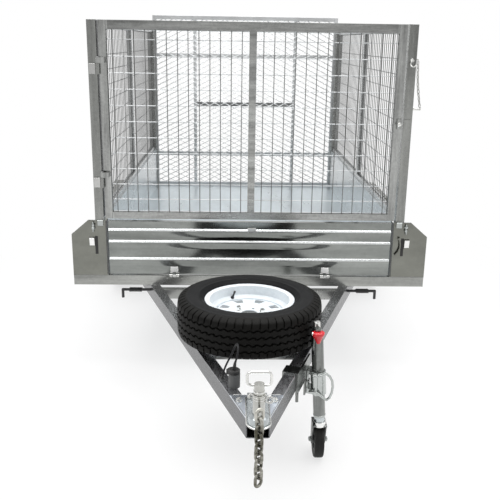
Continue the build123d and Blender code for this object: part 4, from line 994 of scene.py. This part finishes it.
tread = [(42, -17.4), (62, -18.6), (67.5, -19.6), (70.6, -18.8), (73.2, -16.4), (74.4, -13.2), (74.9, -9.4), (74.1, -8.6), (74.1, -7.4), (74.9, -6.6),
         (75.0, 0), (74.9, 6.6), (74.1, 7.4), (74.1, 8.6), (74.9, 9.4), (74.4, 13.2), (73.2, 16.4), (70.6, 18.8), (67.5, 19.6), (62, 18.6), (42, 17.4)]
b.lathe(tread, JWM, 96, True)
make("jockey_wheel_rubber", b, SOLID_RUBBER, "jockey_roller", 40, ["jockey_wheel"])
b = Build()
b.lathe([(6.8, -19.8), (15.5, -19.8), (17.0, -18.6), (17.0, -10), (20, -7), (37, -7), (40, -10), (41, -17.0), (42.4, -17.6), (43.2, -16),
         (43.2, 16), (42.4, 17.6), (41, 17.0), (40, 10), (37, 7), (20, 7), (17.0, 10), (17.0, 18.6), (15.5, 19.8), (6.8, 19.8)], JWM, 48, True)
make("jockey_wheel_hub", b, GREY, "jockey_roller", 35)

# springs: U-bolts over the axle, their plates and nuts, shackle nuts
for side, sg in (("left", -1), ("right", 1)):
    b = Build()
    for dx in (-28, 28):
        x = sg * 665 + dx
        pts = [(x, 1372, 380), (x, 1372, 282)]
        pts += [(x, 1380 - 8 * math.cos(t), 282 - 13 * math.sin(t)) for t in [math.pi / 2 * k / 6 for k in range(1, 7)]]
        pts += [(x, 1420 + 8 * math.sin(t), 282 - 13 * math.cos(t)) for t in [math.pi / 2 * k / 6 for k in range(0, 6)]]
        pts += [(x, 1428, 282), (x, 1428, 380)]
        b.tube(pts, 4.6, 12)
        for y in (1372, 1428):
            b.hexa((x, y, 366.8), (0, 0, 1), 17.0, 8.5, 10.5, 0, 0.1)
    b.box(sg * 665 - 38, sg * 665 + 38, 1360, 1440, 360.8, 366.8, 1.2)
    for y in (1035, 1765):
        for dx in (-29, 29):
            b.hexa((sg * 665 + dx, y, 400), (1 if dx > 0 else -1, 0, 0), 21.0, 9.0, 13.0, 2.5, 0.3)
    make("spring_u_bolts_" + side, b, BRIGHT, "trailer")
    b = Build()
    for y in (1190, 1400, 1610):
        b.hexa((sg * 732, y, 670), (0, 0, 1), 16.0, 5.0, 10.5, 0, 0.4)
        b.hexa((sg * 906, y, 670), (0, 0, 1), 13.0, 4.0, 8.5, 0, 0.4)
    make("mudguard_bolts_" + side, b, BRIGHT, "trailer")
    # tail light: ribbed lens in a black surround
    b = Build()
    x0, x1 = sorted((sg * 560.8, sg * 704.2))
    for k in range(17):
        u = x0 + (x1 - x0) * (k + 0.5) / 17
        b.box(u - 3.6, u + 3.6, 2467.4, 2469.2, 349, 421, 0.8)
    b.box(x0 - 0.4, x1 + 0.4, 2466.8, 2468.6, 383, 387, 0.5)
    make("tail_lens_ribs_" + side, b, LENS, "trailer")
    b = Build()
    x0, x1 = sorted((sg * 554.4, sg * 710.6))
    for a0, a1, c0, c1 in ((x0, x1, 425.6, 435.6), (x0, x1, 339.4, 344.4), (x0, x0 + 5.2, 339.4, 435.6), (x1 - 5.2, x1, 339.4, 435.6)):
        b.box(a0, a1, 2440.2, 2446.0, c0, c1, 1.0)
    make("tail_light_surround_" + side, b, BLACK, "trailer")

# number plate: rolled edge, screws
b = Build()
for x in (-120, 120):
    b.lathe([(0, 0), (5.4, 0), (5.2, 1.2), (3.6, 2.6), (0, 3.0)], frame_at((x, 2443, 418), (0, 1, 0)), 16)
b.tube([(-183, 2442.2, 333), (183, 2442.2, 333), (183, 2442.2, 431), (-183, 2442.2, 431)], 1.7, 8, closed=True)
make("number_plate_trim", b, BRIGHT, "trailer")

# ramp: welds by the hinges and at the corners
b = Build()
for x in (-600.0, 0.0, 600.0):
    for sx in (-15.2, 15.2):
        pass
    b.bead((x - 14, 2478.2, 483), (x + 14, 2478.2, 483), 1.6, 11)
for sg in (-1, 1):
    for z in (483.5, 1790.0):
        b.bead((sg * 694.8, 2476.2, z), (sg * 694.8, 2476.2, z + 28), 1.6, 12)
    for z in (745.0, 1520.0):
        b.bead((sg * 694.8, 2476.2, z - 14), (sg * 694.8, 2476.2, z + 14), 1.6, 13)
make("ramp_welds", b, BEAD, "ramp")

# ------------------------------------------------------------------
# floor, light
# ------------------------------------------------------------------
me = bpy.data.meshes.new("studio_floor")
S = 40.0
me.from_pydata([(-S, -S, 0), (S, -S, 0), (S, S, 0), (-S, S, 0)], [], [(0, 1, 2, 3)])
fl = bpy.data.objects.new("studio_floor", me)
scene.collection.objects.link(fl)
fm = Mat("studio_floor")
fm.set(Base_Color=(0.93, 0.93, 0.93), Roughness=0.9, Specular_IOR_Level=0.1)
vl = fm.node("ShaderNodeVectorMath", operation="LENGTH")
fm.link(fm.coord((1.0, 0.72, 0.0)), vl.inputs[0])
far = fm.node("ShaderNodeMapRange", interpolation_type="SMOOTHSTEP")
for k, x in (("From Min", 0.75), ("From Max", 2.1), ("To Min", 0.66), ("To Max", 1.0)):
    far.inputs[k].default_value = x
fm.link(vl.outputs["Value"], far.inputs["Value"])
glow = fm.node("ShaderNodeEmission")
glow.inputs["Color"].default_value = (1, 1, 1, 1)
glow.inputs["Strength"].default_value = 1.0
fade = fm.node("ShaderNodeMixShader")
fm.link(far.outputs["Result"], fade.inputs[0])
fm.link(fm.b.outputs[0], fade.inputs[1])
fm.link(glow.outputs[0], fade.inputs[2])
fm.link(fade.outputs[0], fm.nt.nodes["Material Output"].inputs["Surface"])
me.materials.append(fm.m)

world = bpy.data.worlds.new("studio")
scene.world = world
world.use_nodes = True
wn = world.node_tree
bg = wn.nodes["Background"]
tcw = wn.nodes.new("ShaderNodeTexCoord")
sepw = wn.nodes.new("ShaderNodeSeparateXYZ")
wn.links.new(tcw.outputs["Generated"], sepw.inputs["Vector"])


def wramp(value, stops):
    r = wn.nodes.new("ShaderNodeValToRGB")
    e = r.color_ramp.elements
    while len(e) < len(stops):
        e.new(0.5)
    for el, (p, c) in zip(e, stops):
        el.position, el.color = p, (c, c, c, 1)
    wn.links.new(value, r.inputs["Fac"])
    return r.outputs["Color"]


mr = wn.nodes.new("ShaderNodeMapRange")           # from the room behind the camera to the backdrop
mr.interpolation_type = "SMOOTHSTEP"
mr.inputs["From Min"].default_value = -0.35
mr.inputs["From Max"].default_value = 0.45
wn.links.new(sepw.outputs["Y"], mr.inputs["Value"])
both = wn.nodes.new("ShaderNodeMix")
both.data_type = "RGBA"
wn.links.new(mr.outputs["Result"], both.inputs[0])
wn.links.new(wramp(sepw.outputs["Z"], [(0.0, 0.62), (0.22, 0.42), (0.55, 0.30), (0.95, 0.90)]), both.inputs[6])
wn.links.new(wramp(sepw.outputs["Z"], [(0.0, 1.05), (0.5, 0.95), (0.95, 1.0)]), both.inputs[7])
wn.links.new(both.outputs[2], bg.inputs["Color"])
bg.inputs["Strength"].default_value = 0.9
bgc = wn.nodes.new("ShaderNodeBackground")         # the backdrop as the camera sees it
bgc.inputs["Color"].default_value = (1, 1, 1, 1)
lp = wn.nodes.new("ShaderNodeLightPath")
ms = wn.nodes.new("ShaderNodeMixShader")
wn.links.new(lp.outputs["Is Camera Ray"], ms.inputs[0])
wn.links.new(bg.outputs[0], ms.inputs[1])
wn.links.new(bgc.outputs[0], ms.inputs[2])
wn.links.new(ms.outputs[0], wn.nodes["World Output"].inputs["Surface"])


def area(name, loc, target, size, size_y, power, color=(1, 1, 1)):
    ld = bpy.data.lights.new(name, "AREA")
    ld.shape = "RECTANGLE"
    ld.size, ld.size_y, ld.energy, ld.color = size, size_y, power, color
    lo = bpy.data.objects.new(name, ld)
    scene.collection.objects.link(lo)
    lo.location = loc
    lo.rotation_euler = (Vector(target) - Vector(loc)).to_track_quat("-Z", "Y").to_euler()
    return lo


area("key", (-3.5, -4.5, 5.5), (0, 0, 0.8), 3.0, 3.0, 110)
area("fill", (4.5, -3.0, 3.5), (0, 0, 0.6), 3.0, 3.0, 50)
area("top", (0, 0.3, 6.2), (0, 0.3, 0), 6.0, 5.0, 330)
scene.view_settings.view_transform = "Standard"
